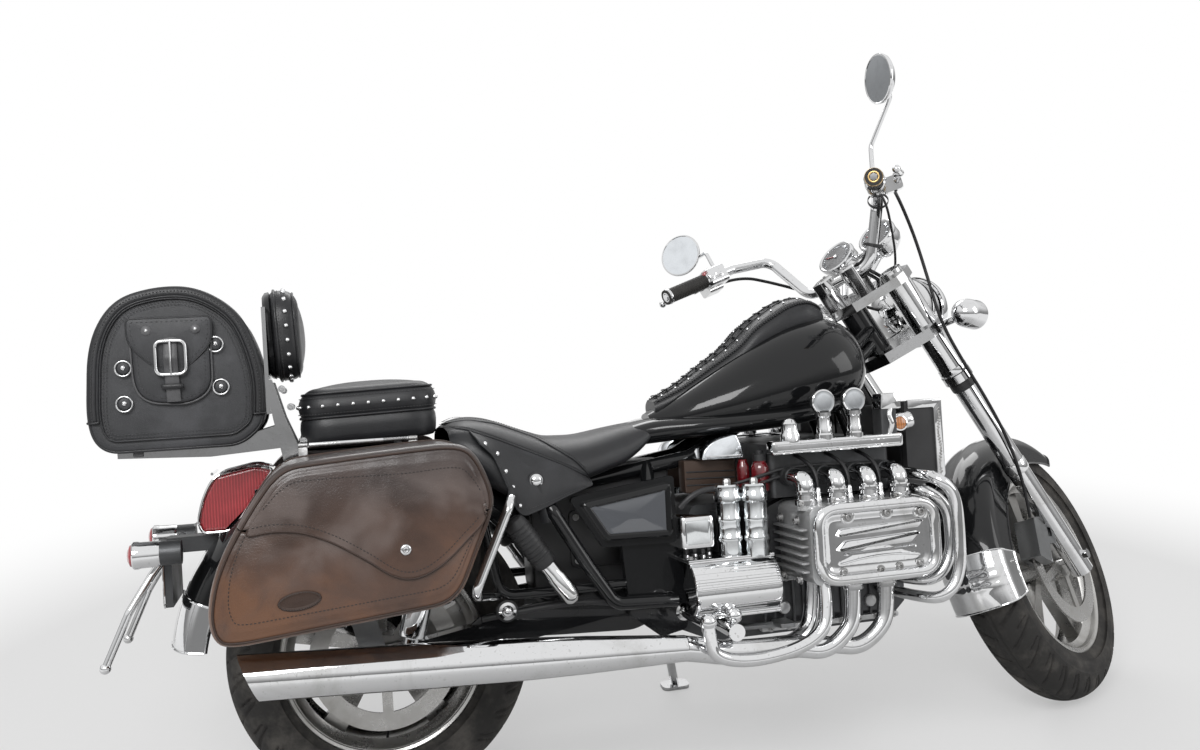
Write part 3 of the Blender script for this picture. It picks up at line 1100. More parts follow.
def tail_bag(context):
    """Leather tail bag: gusset that sags between piped edges, zipped lid band, pocket, strap, buckle and rings."""
    half = TAIL_HALF
    skin = Piece("tail_bag_skin", "chassis", "black_leather", paint("worn_leather"))
    faces = [(14, -half + 3), (5, -half + 1.5), (1.0, -half + 4), (0, -half + 9), (0.5, -half + 16),
             (3.0, -half + 50), (4.4, -60)]
    rows = faces + [(4.4, 60)] + [(d, -y) for d, y in reversed(faces[:-1])]
    band = tail_rows(rows)
    middle = TAIL_OUTLINE.mean(0)
    t = np.linspace(0, 1, 12)[1:, None, None]
    ring = band[0]
    flat = ring[None][..., (0, 2)] * (1 - t) + middle * t
    swell = 5.0 * (1 - (1 - t[..., 0]) ** 2)
    near = np.stack((flat[..., 0], np.broadcast_to(-half + 3 - swell, flat.shape[:2]), flat[..., 1]), -1)
    skin.grid(np.concatenate((near[::-1], band, near * (1, -1, 1))), 0, around=True)
    made = skin.build(60.0)
    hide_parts("tail_bag")

    trim = Piece("tail_bag_trim", "chassis", "black_leather", paint("soft_leather"), paint("black_thread"),
                 paint("chrome"), paint("worn_leather"), paint("piping"))
    for hand in (as_given, mirrored):
        trim.loop(hand, 0, tail_rows([(-0.5, -half + 7)])[0], 3.4, 8)
        trim.loop(hand, 0, tail_rows([(-0.3, -half + 26)])[0], 2.8, 8)
        trim.loop(hand, 0, tail_rows([(21, -half - 1.2)])[0], 2.2, 8)
        for draw in (27, 33):
            stitches(trim, hand(tail_rows([(draw, -half - 2.2)])[0]), 6.5, 4.3, 0.75, 1, True)
        # pocket and its flap
        pocket = rounded([(-1306, 1050), (-1302, 926), (-1278, 898), (-1200, 892), (-1160, 918), (-1160, 1050)],
                         (12, 30, 26, 26, 30, 12), 8)
        flat_panel(trim, pocket, -half - 4, 10.0, 3, 7.0, hand, 5.0)
        rim = even(inset(pocket, -3.0), 150, True)
        rim = np.column_stack((rim[:, 0], np.full(150, -half - 7.5), rim[:, 1]))
        trim.loop(hand, 4, rim, 2.2, 8)
        inner = inset(pocket, 9.0)
        stitches(trim, hand(np.column_stack((inner[:, 0], np.full(len(inner), -half - 16.0), inner[:, 1]))), 6.0, 4.0,
                 0.7, 1, True)
        flap = rounded([(-1312, 1062), (-1312, 1014), (-1268, 968), (-1233, 952), (-1198, 966), (-1154, 1010),
                        (-1154, 1062)],
                       (10, 26, 24, 20, 24, 26, 10), 7)
        flat_panel(trim, flap, -half - 12, 7.0, 3, 4.0, hand, 3.0)
        inner = inset(flap, 7.0)
        stitches(trim, hand(np.column_stack((inner[:, 0], np.full(len(inner), -half - 20.2), inner[:, 1]))), 6.0, 4.0,
                 0.7, 1, True)
        edge = even(inset(flap, -0.5), 130, True)
        trim.loop(hand, 0, np.column_stack((edge[:, 0], np.full(130, -half - 16.0), edge[:, 1])), 2.2, 8)
        # strap through a square buckle
        strap = curve([(-1232, -half - 21, 1022), (-1232, -half - 26, 1000), (-1232, -half - 31, 982),
                       (-1232, -half - 27, 962),
                       (-1231, -half - 24, 930), (-1230, -half - 20, 896)], 40)
        trim.pipe(hand, 4, strap, 13.0, 12, 0.16)
        frame_line = rounded([(-1260, 950), (-1204, 950), (-1204, 1016), (-1260, 1016)], (14, 14, 14, 14), 7)
        buckle = np.column_stack((frame_line[:, 0], np.full(len(frame_line), -half - 29.0), frame_line[:, 1]))
        trim.loop(hand, 2, buckle, 3.6, 10)
        trim.pipe(hand, 2, [(-1232, -half - 34.0, 1016), (-1232, -half - 36.0, 984),
                                     (-1232, -half - 33.0, 950)], 2.2, 8)
        keeper = curve([(-1248, -half - 20, 926), (-1248, -half - 29, 926), (-1214, -half - 29, 926),
                        (-1214, -half - 20, 926)], 20)
        trim.pipe(hand, 0, keeper, 5.0, 8, 0.4)
        spots = np.array([(-1275, -half - 22, 1038), (-1184, -half - 22, 1038)], float)
        trim.spun(hand, 4, [(0, 3.4), (4, 3.2), (6.5, 2.0), (9, 1.0), (10, -1)], spots, (0, -1.0, 0),
                  20)
        domes(trim, hand(spots + (0, -2.0, 0)), hand((0, -1.0, 0)), 4.0, 3.6, 2)
        for spot in ((-1149, -half - 4, 1008), (-1142, -half - 4, 922), (-1323, -half - 4, 968),
                     (-1324, -half - 4, 898)):
            ring_concho(trim, spot, hand, 2, 3)
        back_studs = np.array([(-1389, -half + 16, 880), (-1389, -half + 16, 852), (-1381, -half + 14, 826)], float)
        domes(trim, hand(back_studs), hand((-1.0, -0.3, 0)), 4.6, 4.2, 2)
        trim.slab(hand, 4, box_outline(-1316, 790, -1296, 806, 3), -150, -118, 1.5)
    trim.build(50.0)

    # lid: a second layer over the top with a folded, piped edge
    lid = Piece("tail_bag_lid", "chassis", "black_leather", paint("soft_leather"), paint("black_thread"))
    rows = []
    for draw, y in ((17, -half - 2.6), (10, -half - 3.2), (1, -half - 2.8), (-3.4, -half + 2), (-4.4, -half + 10),
                    (-4.2, -60), (-4.2, 60),
                    (-4.4, half - 10), (-3.4, half - 2), (1, half + 2.8), (10, half + 3.2), (17, half + 2.6)):
        line = side_of(inset(TAIL_OUTLINE, draw), 862.0, False, 120)
        rows.append(np.column_stack((line[:, 0], np.full(120, y), line[:, 1])))
    rows = np.stack(rows)
    lid.grid(rows, 0)
    for end in (0, -1):
        lid.pipe(as_given, 0, rows[end], 2.6, 8)
    for column in (0, -1):
        lid.pipe(as_given, 0, rows[:, column], 2.8, 8)
    for y, draw in ((-half - 3.9, 6), (half + 3.9, 6)):
        line = side_of(inset(TAIL_OUTLINE, draw), 866.0, False, 120)
        stitches(lid, np.column_stack((line[:, 0], np.full(120, y), line[:, 1])), 6.5, 4.3, 0.75, 1)
    lid.build(50.0, thickness=0.002)


# ------------------------------------------------------------------ tank bib
BIB = np.array([(-192, 38, 800, 836), (-120, 54, 824, 872), (-60, 66, 850, 912), (10, 78, 890, 958),
                (60, 84, 930, 1004),
                (110, 86, 950, 1036), (150, 86, 966, 1056), (190, 84, 980, 1062), (220, 74, 986, 1052),
                (240, 62, 992, 1032)], float)
BIB_SECTION = [(0, 1), (0.42, 0.985), (0.74, 0.90), (0.93, 0.72), (1.0, 0.5), (0.97, 0.28), (0.84, 0.06), (0.5, 0.0),
               (0, 0)]


def tank_bib(context):
    """Leather bib along the tank's crest: padded strip, laced middle, whip-stitched edges and a pouch at the front."""
    count, sides = 150, 91
    x = np.linspace(BIB[0, 0], BIB[-1, 0], count)
    smooth = [curve(BIB[:, (0, k)], 400) for k in (1, 2, 3)]
    half, low, high = (np.interp(x, line[:, 0], line[:, 1]) for line in smooth)
    around = np.linspace(-1, 1, sides)
    section = curve(BIB_SECTION, 181)
    at = np.abs(around) * 180
    i = np.minimum(at.astype(int), 179)
    shape = section[i] * (1 - (at - i)[:, None]) + section[i + 1] * (at - i)[:, None]
    y = np.sign(around)[None] * shape[None, :, 0] * half[:, None]
    z = low[:, None] + shape[None, :, 1] * (high - low)[:, None]
    side = np.abs(y) / half[:, None]
    top = shape[None, :, 1] > 0.5
    groove = np.exp(-((side - 0.30) / 0.035) ** 2) * 3.0 + np.exp(-((side - 0.80) / 0.03) ** 2) * 2.0
    quilt = 1.6 * np.cos(2 * np.pi * x[:, None] / 42.0) * np.clip(1 - (side / 0.27) ** 2, 0, 1)
    z = z + top * (quilt - groove)
    grid = np.stack((np.broadcast_to(x[:, None], y.shape), y, z), -1)
    skin = Piece("tank_bib_skin", "chassis", "black_leather", paint("soft_leather"))
    skin.grid(grid)
    for row in (grid[0], grid[-1]):
        t = np.linspace(0, 1, 6)[:, None, None]
        skin.grid(row[None] * (1 - t) + row.mean(0) * t)
    made = skin.build(55.0)
    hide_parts("tank_bib")
    trim = Piece("tank_bib_trim", "chassis", "black_leather", paint("soft_leather"), paint("black_thread"),
                 paint("chrome"))
    crest = np.stack((x, 0 * x, high), -1)
    normal = unit(np.stack((-np.gradient(high), 0 * x, np.gradient(x)), -1))
    for sign in (-1, 1):
        for share, drop, radius in ((0.86, 0.165, 3.0), (0.30, 0.004, 1.6)):
            line = np.stack((x, sign * share * half, high - drop * (high - low)), -1) + normal * 1.2
            trim.pipe(as_given, 0, even(line[2:-2], 150), radius, 8)
        base = even(np.stack((x, sign * 0.80 * half, high - 0.115 * (high - low)), -1)[4:-4], 74)
        reach = even(np.stack((x, sign * 0.90 * half, high - 0.20 * (high - low)), -1)[4:-4], 74)
        bars = reach - base
        mids = (base + reach) / 2 + (0, sign * 0.5, 2.0)
        spindle = [(0, -7.0), (1.3, -6.0), (1.6, 0), (1.3, 6.0), (0, 7.0)]
        trim.spun(as_given, 1, spindle, mids, unit(bars + (2.5, 0, 0)), 6)
    steps = even(crest[6:-20], 15)
    lift = even(normal[6:-20], 15)
    slots = []
    for at, up in zip(steps, lift):
        span = np.linspace(-1, 1, 12)[:, None]
        arc = at + span * (7.0, 17.0, 0) + up * (3.2 + 1.2 * (1 - span ** 2))
        slots.append(tube(arc, 3.0, 8, 0.45))
        arc = at + span * (7.0, -17.0, 0) + up * (2.2 + 1.2 * (1 - span ** 2))
        slots.append(tube(arc, 3.0, 8, 0.45))
    trim.grid(np.stack(slots), 0, around=True, ends=True)
    studs = even(np.stack((x, 0.55 * half, high - 0.03 * (high - low)), -1)[8:-8], 13) + (0, 0, 0.6)
    domes(trim, studs, (0, 0.15, 1.0), 3.6, 3.0, 2)
    domes(trim, mirrored(studs), (0, -0.15, 1.0), 3.6, 3.0, 2)
    trim.build(50.0)
    # filler cap on the front of the tank
    cap = Piece("filler_cap", "chassis", "chrome", paint("chrome"))
    spot, up = np.array((268.0, 0.0, 1006.0)), unit(np.array((0.30, 0.0, 1.0)))
    cap.spun(as_given, 0, [(36, -6), (36, 3), (34, 6), (31, 7), (29, 6.2), (27, 8), (24, 13), (20, 15.5), (12, 17),
                           (0, 17.4)], spot, up, 48)
    cap.build(35.0)


# ------------------------------------------------------------------ engine
COVER = rounded([(57, 433), (333, 433), (333, 585), (57, 585)], (44, 44, 44, 44), 10)
TOP_BOLTS = [(127, 566), (219, 568), (300, 564)]
LOW_BOLTS = [(110, 450), (198, 447), (243, 449), (293, 453)]
OUTWARD = (0.0, -1.0, 0.0)


def bar(x0, z0, x1, z1, width, taper):
    """Outline of a flat bar with slanted ends."""
    return [(x0, z0 - width / 2), (x1 - taper, z1 - width / 2), (x1, z1 + width / 2), (x0 + taper, z0 + width / 2)]


def engine(context):
    """Valve covers, gearbox covers, stacks, jars, collars, bolts and the small boxes by the engine."""
    covers = Piece("valve_cover_trim", "chassis", "chrome", paint("chrome"), paint("steel"), paint("bright_cast"))
    for hand in (as_given, mirrored):
        # round bar over a shallow dish, with slanted bars pressed in the field
        ring = even(COVER, 140, True)
        rows = []
        for draw, y in ((0.0, -328.0), (0.0, -344.0), (5, -347.4), (14, -347.8), (19, -346.4), (23, -344.4),
                        (27, -344.0)):
            line = inset(ring, draw)
            rows.append(np.column_stack((line[:, 0], np.full(140, y), line[:, 1])))
        line = inset(ring, 27)
        middle = line.mean(0)
        for t in np.linspace(0, 1, 8)[1:]:
            flat = line * (1 - t) + middle * t
            rows.append(np.column_stack((flat[:, 0], np.full(140, -344.0 - 2.0 * (1 - (1 - t) ** 2)), flat[:, 1])))
        covers.grid(hand(np.stack(rows)), 0, around=True)
        covers.loop(hand, 0, np.column_stack((ring[:, 0], np.full(140, -349.0), ring[:, 1])), 12.5, 18)
        for outline, level in ((bar(96, 533, 306, 539, 17, 12), -354.0), (bar(96, 505, 296, 511, 21, 22), -355.5),
                               (bar(112, 486, 288, 490, 7, 8), -351.5)):
            covers.slab(hand, 0, rounded(outline, 5), level, -342, 5.2)
        bow = curve([(106, -346, 466), (150, -346.6, 473), (200, -346.6, 477), (250, -346.6, 476), (294, -346, 470)],
                    40)
        covers.pipe(hand, 0, bow, 2.4, 8)
        spots = np.array([(x, -347.0, z) for x, z in TOP_BOLTS], float)
        bolts(covers, hand(spots), hand(OUTWARD), 8.0, 8.0, 1)
        covers.spun(hand, 0, [(15.5, -2), (15.5, 1.5), (13.0, 2.6), (11.0, 2.2)], spots, OUTWARD, 28)
        spots = np.array([(x, -347.0, z) for x, z in LOW_BOLTS], float)
        bolts(covers, hand(spots), hand(OUTWARD), 6.4, 7.0, 1)
        # fins and bosses on the head casting
        for z in (452, 470, 488, 506, 524, 542):
            covers.slab(hand, 2, [(30, z - 2.2), (44, z - 2.2), (44, z + 2.2), (30, z + 2.2)], -322, -170, 1.0)
        spots = np.array([(36, -205, 560), (36, -290, 560), (36, -205, 432), (36, -290, 432)], float)
        bolts(covers, hand(spots), (-1.0, 0, 0), 7.0, 9.0, 1)
    made = covers.build(35.0)
    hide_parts("valve_covers")

    gear = Piece("gearbox_cover_shell", "chassis", "chrome", paint("chrome"), paint("steel"))
    outline = even(curve([(-236, 486.5), (-262, 476), (-280, 456), (-289, 432), (-289.5, 410), (-282, 388),
                          (-262, 371)], 200), 160)
    ribs = context.scene.cruiser_shape.ribs
    height = outline[:, 1]
    ripple = np.clip((height - 428) / 6, 0, 1) * np.clip((480 - height) / 6, 0, 1)
    bulge = outline + 1.1 * (np.abs(np.sin(np.pi * (height - 428) / 52 * ribs)) ** 0.5 * ripple)[:, None] * (-1, 0)
    x = np.concatenate(((-203.5, -203, -201, -197), np.linspace(-190, -18, 24), (-11, -7, -5, -4.5)))
    draw = np.concatenate(((9, 4, 1.2, 0), np.zeros(24), (0, 1.2, 4, 9)))
    middle = np.array((-236.0, 428.0))
    rows = [np.column_stack((np.full(160, at), (bulge - (bulge - middle) * d / 60))) for at, d in zip(x, draw)]
    rows = np.stack(rows)
    for hand in (as_given, mirrored):
        gear.grid(hand(rows), 0)
        for end in (0, -1):
            t = np.linspace(0, 1, 5)[:, None, None]
            flat = rows[end][None] * (1 - t) + np.array((rows[end][0, 0], -200.0, 428.0)) * t
            gear.grid(hand(flat), 0)
        gear.slab(hand, 0, box_outline(-204, 364, -4, 374, 2), -268, -150, 1.5)
        gear.slab(hand, 0, box_outline(-204, 482, -4, 490, 2), -250, -150, 1.5)
        spots = np.array([(-190, -250, 490), (-110, -250, 490), (-22, -250, 490)], float) * (1, 0.9, 1)
        bolts(gear, hand(spots), (0, 0, 1.0), 4.5, 5.0, 1)
    made = gear.build(30.0)
    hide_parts("gearbox_covers")

    jars = Piece("engine_jars", "chassis", "chrome", paint("jar"), paint("chrome"), paint("steel"),
                 paint("satin_black"))
    profile = [(27.5, 486), (27.5, 518), (30, 522), (30, 530), (27.2, 534), (27.2, 560), (28.6, 563), (28.6, 572),
               (27.2, 575),
               (27.2, 604), (30.5, 608), (31, 622), (28, 627), (28, 640), (25, 644), (14, 645), (0, 645)]
    for hand in (as_given, mirrored):
        for x, y, s in ((-92, -212, 1.0), (-38, -236, 0.96)):
            jars.spun(hand, 0, np.array(profile) * (s, 1.0), (x, y, 0.0), (0, 0, 1.0), 36)
        jars.spun(hand, 2, [(9, 0), (9, 10), (6, 14), (0, 14)], [(-92, -212, 643.0), (-38, -236, 643.0)],
                  (0, 0, 1.0), 6)
        box = block(box_outline(-207, -222, -129, -134, 12), 510, 581, 6, "top")
        jars.grid(hand(box), 1, around=True, ends=True)
        jars.slab(hand, 0, box_outline(-198, 520, -140, 572, 8), -224.5, -220, 2)
        spots = np.array([(-192, -205, 492), (-176, -212, 494), (-158, -214, 490), (-142, -206, 494)], float)
        jars.spun(hand, 3, [(0, 20), (5, 19), (6, 12), (4, 8), (8, 4), (8, -8)], spots, (0, 0, 1.0),
                  12)
        domes(jars, hand(spots + (0, -6, 2)), hand(OUTWARD), 4.0, 3.0, 1)
        hose = curve([(-200, -198, 600), (-176, -206, 622), (-146, -206, 634), (-112, -204, 636)], 30)
        jars.pipe(hand, 3, hose, 6.5, 12)
        jars.spun(hand, 1, [(0, 12), (8, 11), (14, 7), (17, 0), (17, -24), (12, -40)],
                  (-124.0, -296.0, 372.0), (0, -1.0, 0), 28)
    jars.build(35.0)

    stacks = Piece("intake_trim", "chassis", "chrome", paint("chrome"), paint("white_face"), paint("steel"),
                   paint("dark_cast"), paint("amber"))
    cap = [(26.5, -2), (28, 1), (28.6, 4), (28, 7), (26, 8.6), (24.2, 8.2)]
    face = [(24.2, 8.2), (18, 8.9), (9, 9.4), (0, 9.6)]
    for hand in (as_given, mirrored):
        spots = np.array([(146, -220, 812), (222, -220, 812)], float)
        stacks.spun(hand, 0, cap, spots, OUTWARD, 48)
        stacks.spun(hand, 1, face, spots, OUTWARD, 48)
        feet = np.array([(146, -222, 0), (222, -222, 0)], float)
        neck = [(20, 727), (20, 738), (17, 742), (17, 752), (15, 758), (15, 776), (18, 780), (18, 788)]
        stacks.spun(hand, 0, neck, feet, (0, 0, 1.0), 28)
        stacks.spun(hand, 0, [(22, 727), (22, 744), (18, 750), (18, 768), (12, 776), (6, 780), (0, 781)],
                    (62.0, -222.0, 0), (0, 0, 1.0), 28)
        # rail with rounded chrome skin
        section = rounded([(-242, 700), (-202, 700), (-202, 731), (-242, 731)], (7, 7, 7, 7), 6)
        ends = [(10, 8.0), (11, 3.0), (14, 0.6), (18, 0), (324, 0), (328, 0.6), (331, 3.0), (332, 8.0)]
        rail = np.stack([np.column_stack((np.full(24, at), inset(section, d))) for at, d in ends])
        stacks.grid(hand(rail), 0, around=True, ends=True)
        for z in (709, 721):
            stacks.pipe(hand, 0, [(20, -242.5, z), (322, -242.5, z)], 1.5, 8)
        # collars, necks and dark boots of the four ports
        port = np.array([(p, -288.0, 0.0) for p in (60, 136, 212, 288)])
        collar = [(22, 590), (24.5, 593), (24.5, 603), (21, 606), (20.5, 614), (23, 617), (23, 622), (19.4, 625)]
        stacks.spun(hand, 0, collar, port, (0, 0, 1.0), 28)
        bolts(stacks, hand(port + (-19, -18, 597)), hand((0, -1.0, 0.3)), 4.2, 5.0, 2)
        for x in (60, 136, 212, 288):
            elbow = bowed([(x, -222, 650), (x, -262, 651), (x, -289, 642), (x, -288, 618), (x, -288, 600)], 44)
            stacks.pipe(hand, 0, elbow, 18.9, 24)
        boot = [(20.5, 0), (20.5, 14), (19.2, 16), (19.2, 22), (20.5, 24), (20.5, 36), (18.8, 38)]
        stacks.spun(hand, 3, boot, port * (1, 0, 1) + (0, -196, 650), (0, -1.0, 0), 24)
        # pod with its amber face, and the block that carries it
        pod = np.array((340.0, -206.0, 752.0))
        axis = unit(np.array((0.96, -0.10, 0.20)))
        stacks.spun(hand, 0, [(0, -34), (12, -32), (19, -24), (21, -8), (21, 26), (18, 32)], pod, axis, 32)
        stacks.spun(hand, 4, [(15, 0), (15, 3), (12, 5), (0, 6)], pod + (-6.0, -19.0, 0.0),
                    (-0.1, -1.0, 0.1), 28)
        stacks.spun(hand, 0, [(18, -2), (18, 3), (15, 4)], pod + (-6.0, -19.0, 0.0), (-0.1, -1.0, 0.1), 28)
        stacks.slab(hand, 0, rounded([(280, 786), (332, 786), (332, 806), (318, 822), (284, 822)], 4), -240, -196, 3)
        ell = rounded([(374, 802), (463, 802), (463, 622), (446, 606), (441, 606), (441, 782), (374, 782)],
                      (3, 5, 6, 3, 3, 4, 3), 5)
        stacks.slab(hand, 0, ell, -195.5, -188, 2.0)
        for dx in (0.0, 1.0):
            mottle = np.linspace(628, 776, 22)
            knobs = np.column_stack((452 + 3.0 * np.sin(mottle * 1.7 + dx), np.full(22, -195.5), mottle + dx * 3))
            domes(stacks, hand(knobs), hand(OUTWARD), 2.6, 1.6, 2)
        stacks.pipe(hand, 0, curve([(302, -232, 732), (306, -238, 752), (302, -236, 772), (308, -232, 790)], 30), 7.0,
                    12)
    stacks.build(35.0)

    side = Piece("engine_side_parts", "chassis", "chrome", paint("white_face"), paint("chrome"), paint("copper"),
                 paint("fluid"), paint("satin_black"))
    triangle = rounded([(-132, 697), (-122, 722), (-92, 742), (-44, 752), (-30, 716), (-28, 696)],
                       (5, 12, 14, 10, 8, 5), 6)
    for hand in (as_given, mirrored):
        side.slab(hand, 0, triangle, -168, -100, 5)
        side.pipe(hand, 1, [(-122, -170, 705), (-38, -170, 703)], 2.0, 8)
        side.slab(hand, 2, rounded([(-158, 622), (-34, 612), (-32, 692), (-158, 696)], 5), -122, -80, 3)
        for z in (640, 655, 670):
            side.pipe(hand, 4, [(-154, -123, z), (-38, -123, z - 4)], 1.6, 8)
        jar = [(0, 618), (18, 619), (20, 622), (20, 672), (17, 680), (14, 684), (14, 690)]
        side.spun(hand, 3, jar, (4.0, -176.0, 0), (0, 0, 1.0), 32)
        side.spun(hand, 3, np.array(jar) * (0.72, 1.0), (-30.0, -158.0, 2.0), (0, 0, 1.0), 28)
        side.spun(hand, 4, [(16, 688), (16, 702), (13, 704), (9, 704), (9, 711), (0, 712)],
                  (4.0, -176.0, 0), (0, 0, 1.0), 12)
        spots = np.array([(-230, -158, 455), (-195, -172, 367), (-587, -158, 408)], float)
        big = [(0, 13), (5, 12.4), (9, 10), (12, 6), (13, 3), (15.5, 2.4), (19, 1.6), (20, -1), (20, -6)]
        side.spun(hand, 1, big, spots, OUTWARD, 36)
        side.spun(hand, 4, [(20, 0), (23.5, -0.5), (24, -3), (24, -10)], spots, OUTWARD, 36)
    side.build(35.0)

    pipes = Piece("header_pipes", "chassis", "chrome", paint("chrome"), paint("dull_chrome"))
    for hand in (as_given, mirrored):
        for x in (232, 152):
            route = [(x, -300, 424), (x - 4, -305, 360), (x - 14, -306, 318), (x - 70, -302, 274),
                     (x - 130, -292, 284), (x - 190, -290, 294)]
            pipes.pipe(hand, 0, bowed(route, 70), 18.0, 24)
            pipes.spun(hand, 1, [(22, -12), (24, -8), (24, 2), (20, 6)], (x, -300.0, 414.0),
                       (0, 0, 1.0), 28)
        route = [(86, -236, 424), (84, -238, 360), (60, -250, 306), (-10, -276, 288), (-90, -286, 291)]
        pipes.pipe(hand, 0, bowed(route, 60), 18.0, 24)
        route = [(46, -290, 292), (-60, -289, 290), (-150, -289, 296), (-200, -296, 309), (-243, -300.5, 318.4)]
        pipes.pipe(hand, 0, bowed(route, 60), np.interp(np.linspace(0, 1, 60), (0, 0.10, 1), (16.0, 25.5, 26.5)), 28)
    made = pipes.build(40.0)
    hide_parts("headers")

    guards = Piece("engine_guard_bars", "chassis", "chrome", paint("chrome"))
    for hand in (as_given, mirrored):
        for inner, top, foot in ((0, 640, 372), (34, 606, 406)):
            reach = inner - 386 + 13
            route = [(326, -139, top), (326, reach + 70, top + 2), (332, reach, top - 4), (374, reach, top - 40),
                     (378, reach, (top + foot) / 2),
                     (374, reach, foot + 52), (336, reach, foot + 2), (300, reach + 60, foot), (285, -163, foot)]
            guards.pipe(hand, 0, bowed(route, 110), 13.0, 22)
    made = guards.build(40.0)
    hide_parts("engine_guards")

    low = Piece("lower_guard_bars", "chassis", "chrome", paint("chrome"))
    for hand in (as_given, mirrored):
        route = [(-199, -338, 372), (-198, -338, 336), (-186, -338, 300), (-120, -338, 284), (-30, -338, 290),
                 (40, -338, 312), (74, -336, 350), (76, -318, 424)]
        low.pipe(hand, 0, bowed(route, 100), 14.0, 22)
        low.spun(hand, 0, [(0, 18), (9, 16.5), (15, 11), (18, 3), (18, -3), (14, -10), (13, -20)],
                 (-199.0, -338.0, 374.0), unit((0.0, -0.25, 1.0)), 28)
        low.pipe(hand, 0, [(-199, -338, 366), (-199, -170, 366)], 9.0, 14)
    made = low.build(40.0)
    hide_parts("lower_guards")

    # ribs, plugs and a pan rail on the crankcase below the heads
    case = Piece("crankcase_details", "chassis", "cast_alloy", paint("dark_cast"), paint("steel"), paint("bright_cast"))
    for hand in (as_given, mirrored):
        for x in range(-2, 330, 24):
            case.pipe(hand, 0, [(x, -166, 306), (x, -168, 360), (x, -166, 414)], 3.6, 8)
        case.slab(hand, 2, box_outline(-12, 300, 332, 312, 5), -170, -150, 2)
        case.slab(hand, 2, box_outline(-12, 410, 332, 422, 5), -170, -150, 2)
        spots = np.array([(x, -170, z) for x in range(10, 330, 44) for z in (306, 416)], float)
        bolts(case, hand(spots), hand(OUTWARD), 5.0, 5.0, 1)
        plugs = np.array([(46, -168, 350), (142, -168, 380), (262, -168, 344)], float)
        case.spun(hand, 2, [(0, 7), (8, 6.6), (13, 4), (15, 0), (15, -6)], plugs, OUTWARD, 24)
    case.build(35.0)

    wires = Piece("engine_wires", "chassis", "rubber", paint("hose"), paint("chrome"), paint("satin_black"))
    for hand in (as_given, mirrored):
        for x in (98, 174, 250):
            route = [(x - 14, -196, 694), (x - 6, -240, 684), (x + 4, -268, 646), (x, -270, 604)]
            wires.pipe(hand, 0, bowed(route, 40), 4.4, 10)
            wires.spun(hand, 1, [(5, 26), (7.5, 22), (8, 4), (10, 0), (10, -8)], (x, -270.0, 600.0),
                       (0, 0, 1.0), 20)
        for drop in (0, 16):
            route = [(330, -196, 660 - drop), (200, -202, 668 - drop), (60, -200, 672 - drop),
                     (-20, -196, 650 - drop), (-70, -188, 640 - drop)]
            wires.pipe(hand, 2, bowed(route, 60), 4.0, 10)
    wires.build(40.0)


# ------------------------------------------------------------------ fenders and wheels
def fender(name, body, wheel, place, inner, half, angles, skirts, ridge, count=150):
    """Fender skin: a rounded arch carried round the axle, with a raised crest and a rolled edge.

    Across it the radius falls by a superellipse from the crown to the skirt; the skirt follows the angle.
    """
    angle = np.radians(np.linspace(angles[0], angles[1], count))[:, None]
    skirt = np.interp(np.degrees(angle), *np.array(skirts).T)
    across_at = np.linspace(-1, 1, 61)[None]
    share = np.abs(across_at)
    flat = np.clip(share / 0.62, 0, 1)
    side = np.clip((share - 0.62) / 0.38, 0, 1)
    y = np.sign(across_at) * half * np.sin(flat * np.pi / 2) ** 0.92
    fall = 46.0 * (1 - np.sqrt(np.clip(1 - (np.abs(y) / half) ** 2.4, 0, 1)))
    radius = inner + 7.0 - fall - side * (skirt - 46.0) + ridge * np.exp(-(y / 5.0) ** 2)
    y = y + 0 * angle
    grid = np.stack((wheel[0] + radius * np.cos(angle), y, wheel[2] + radius * np.sin(angle)), -1)
    piece = Piece(name, body, "black_paint", paint("black"), place=place)
    piece.grid(grid, 0)
    return piece, grid


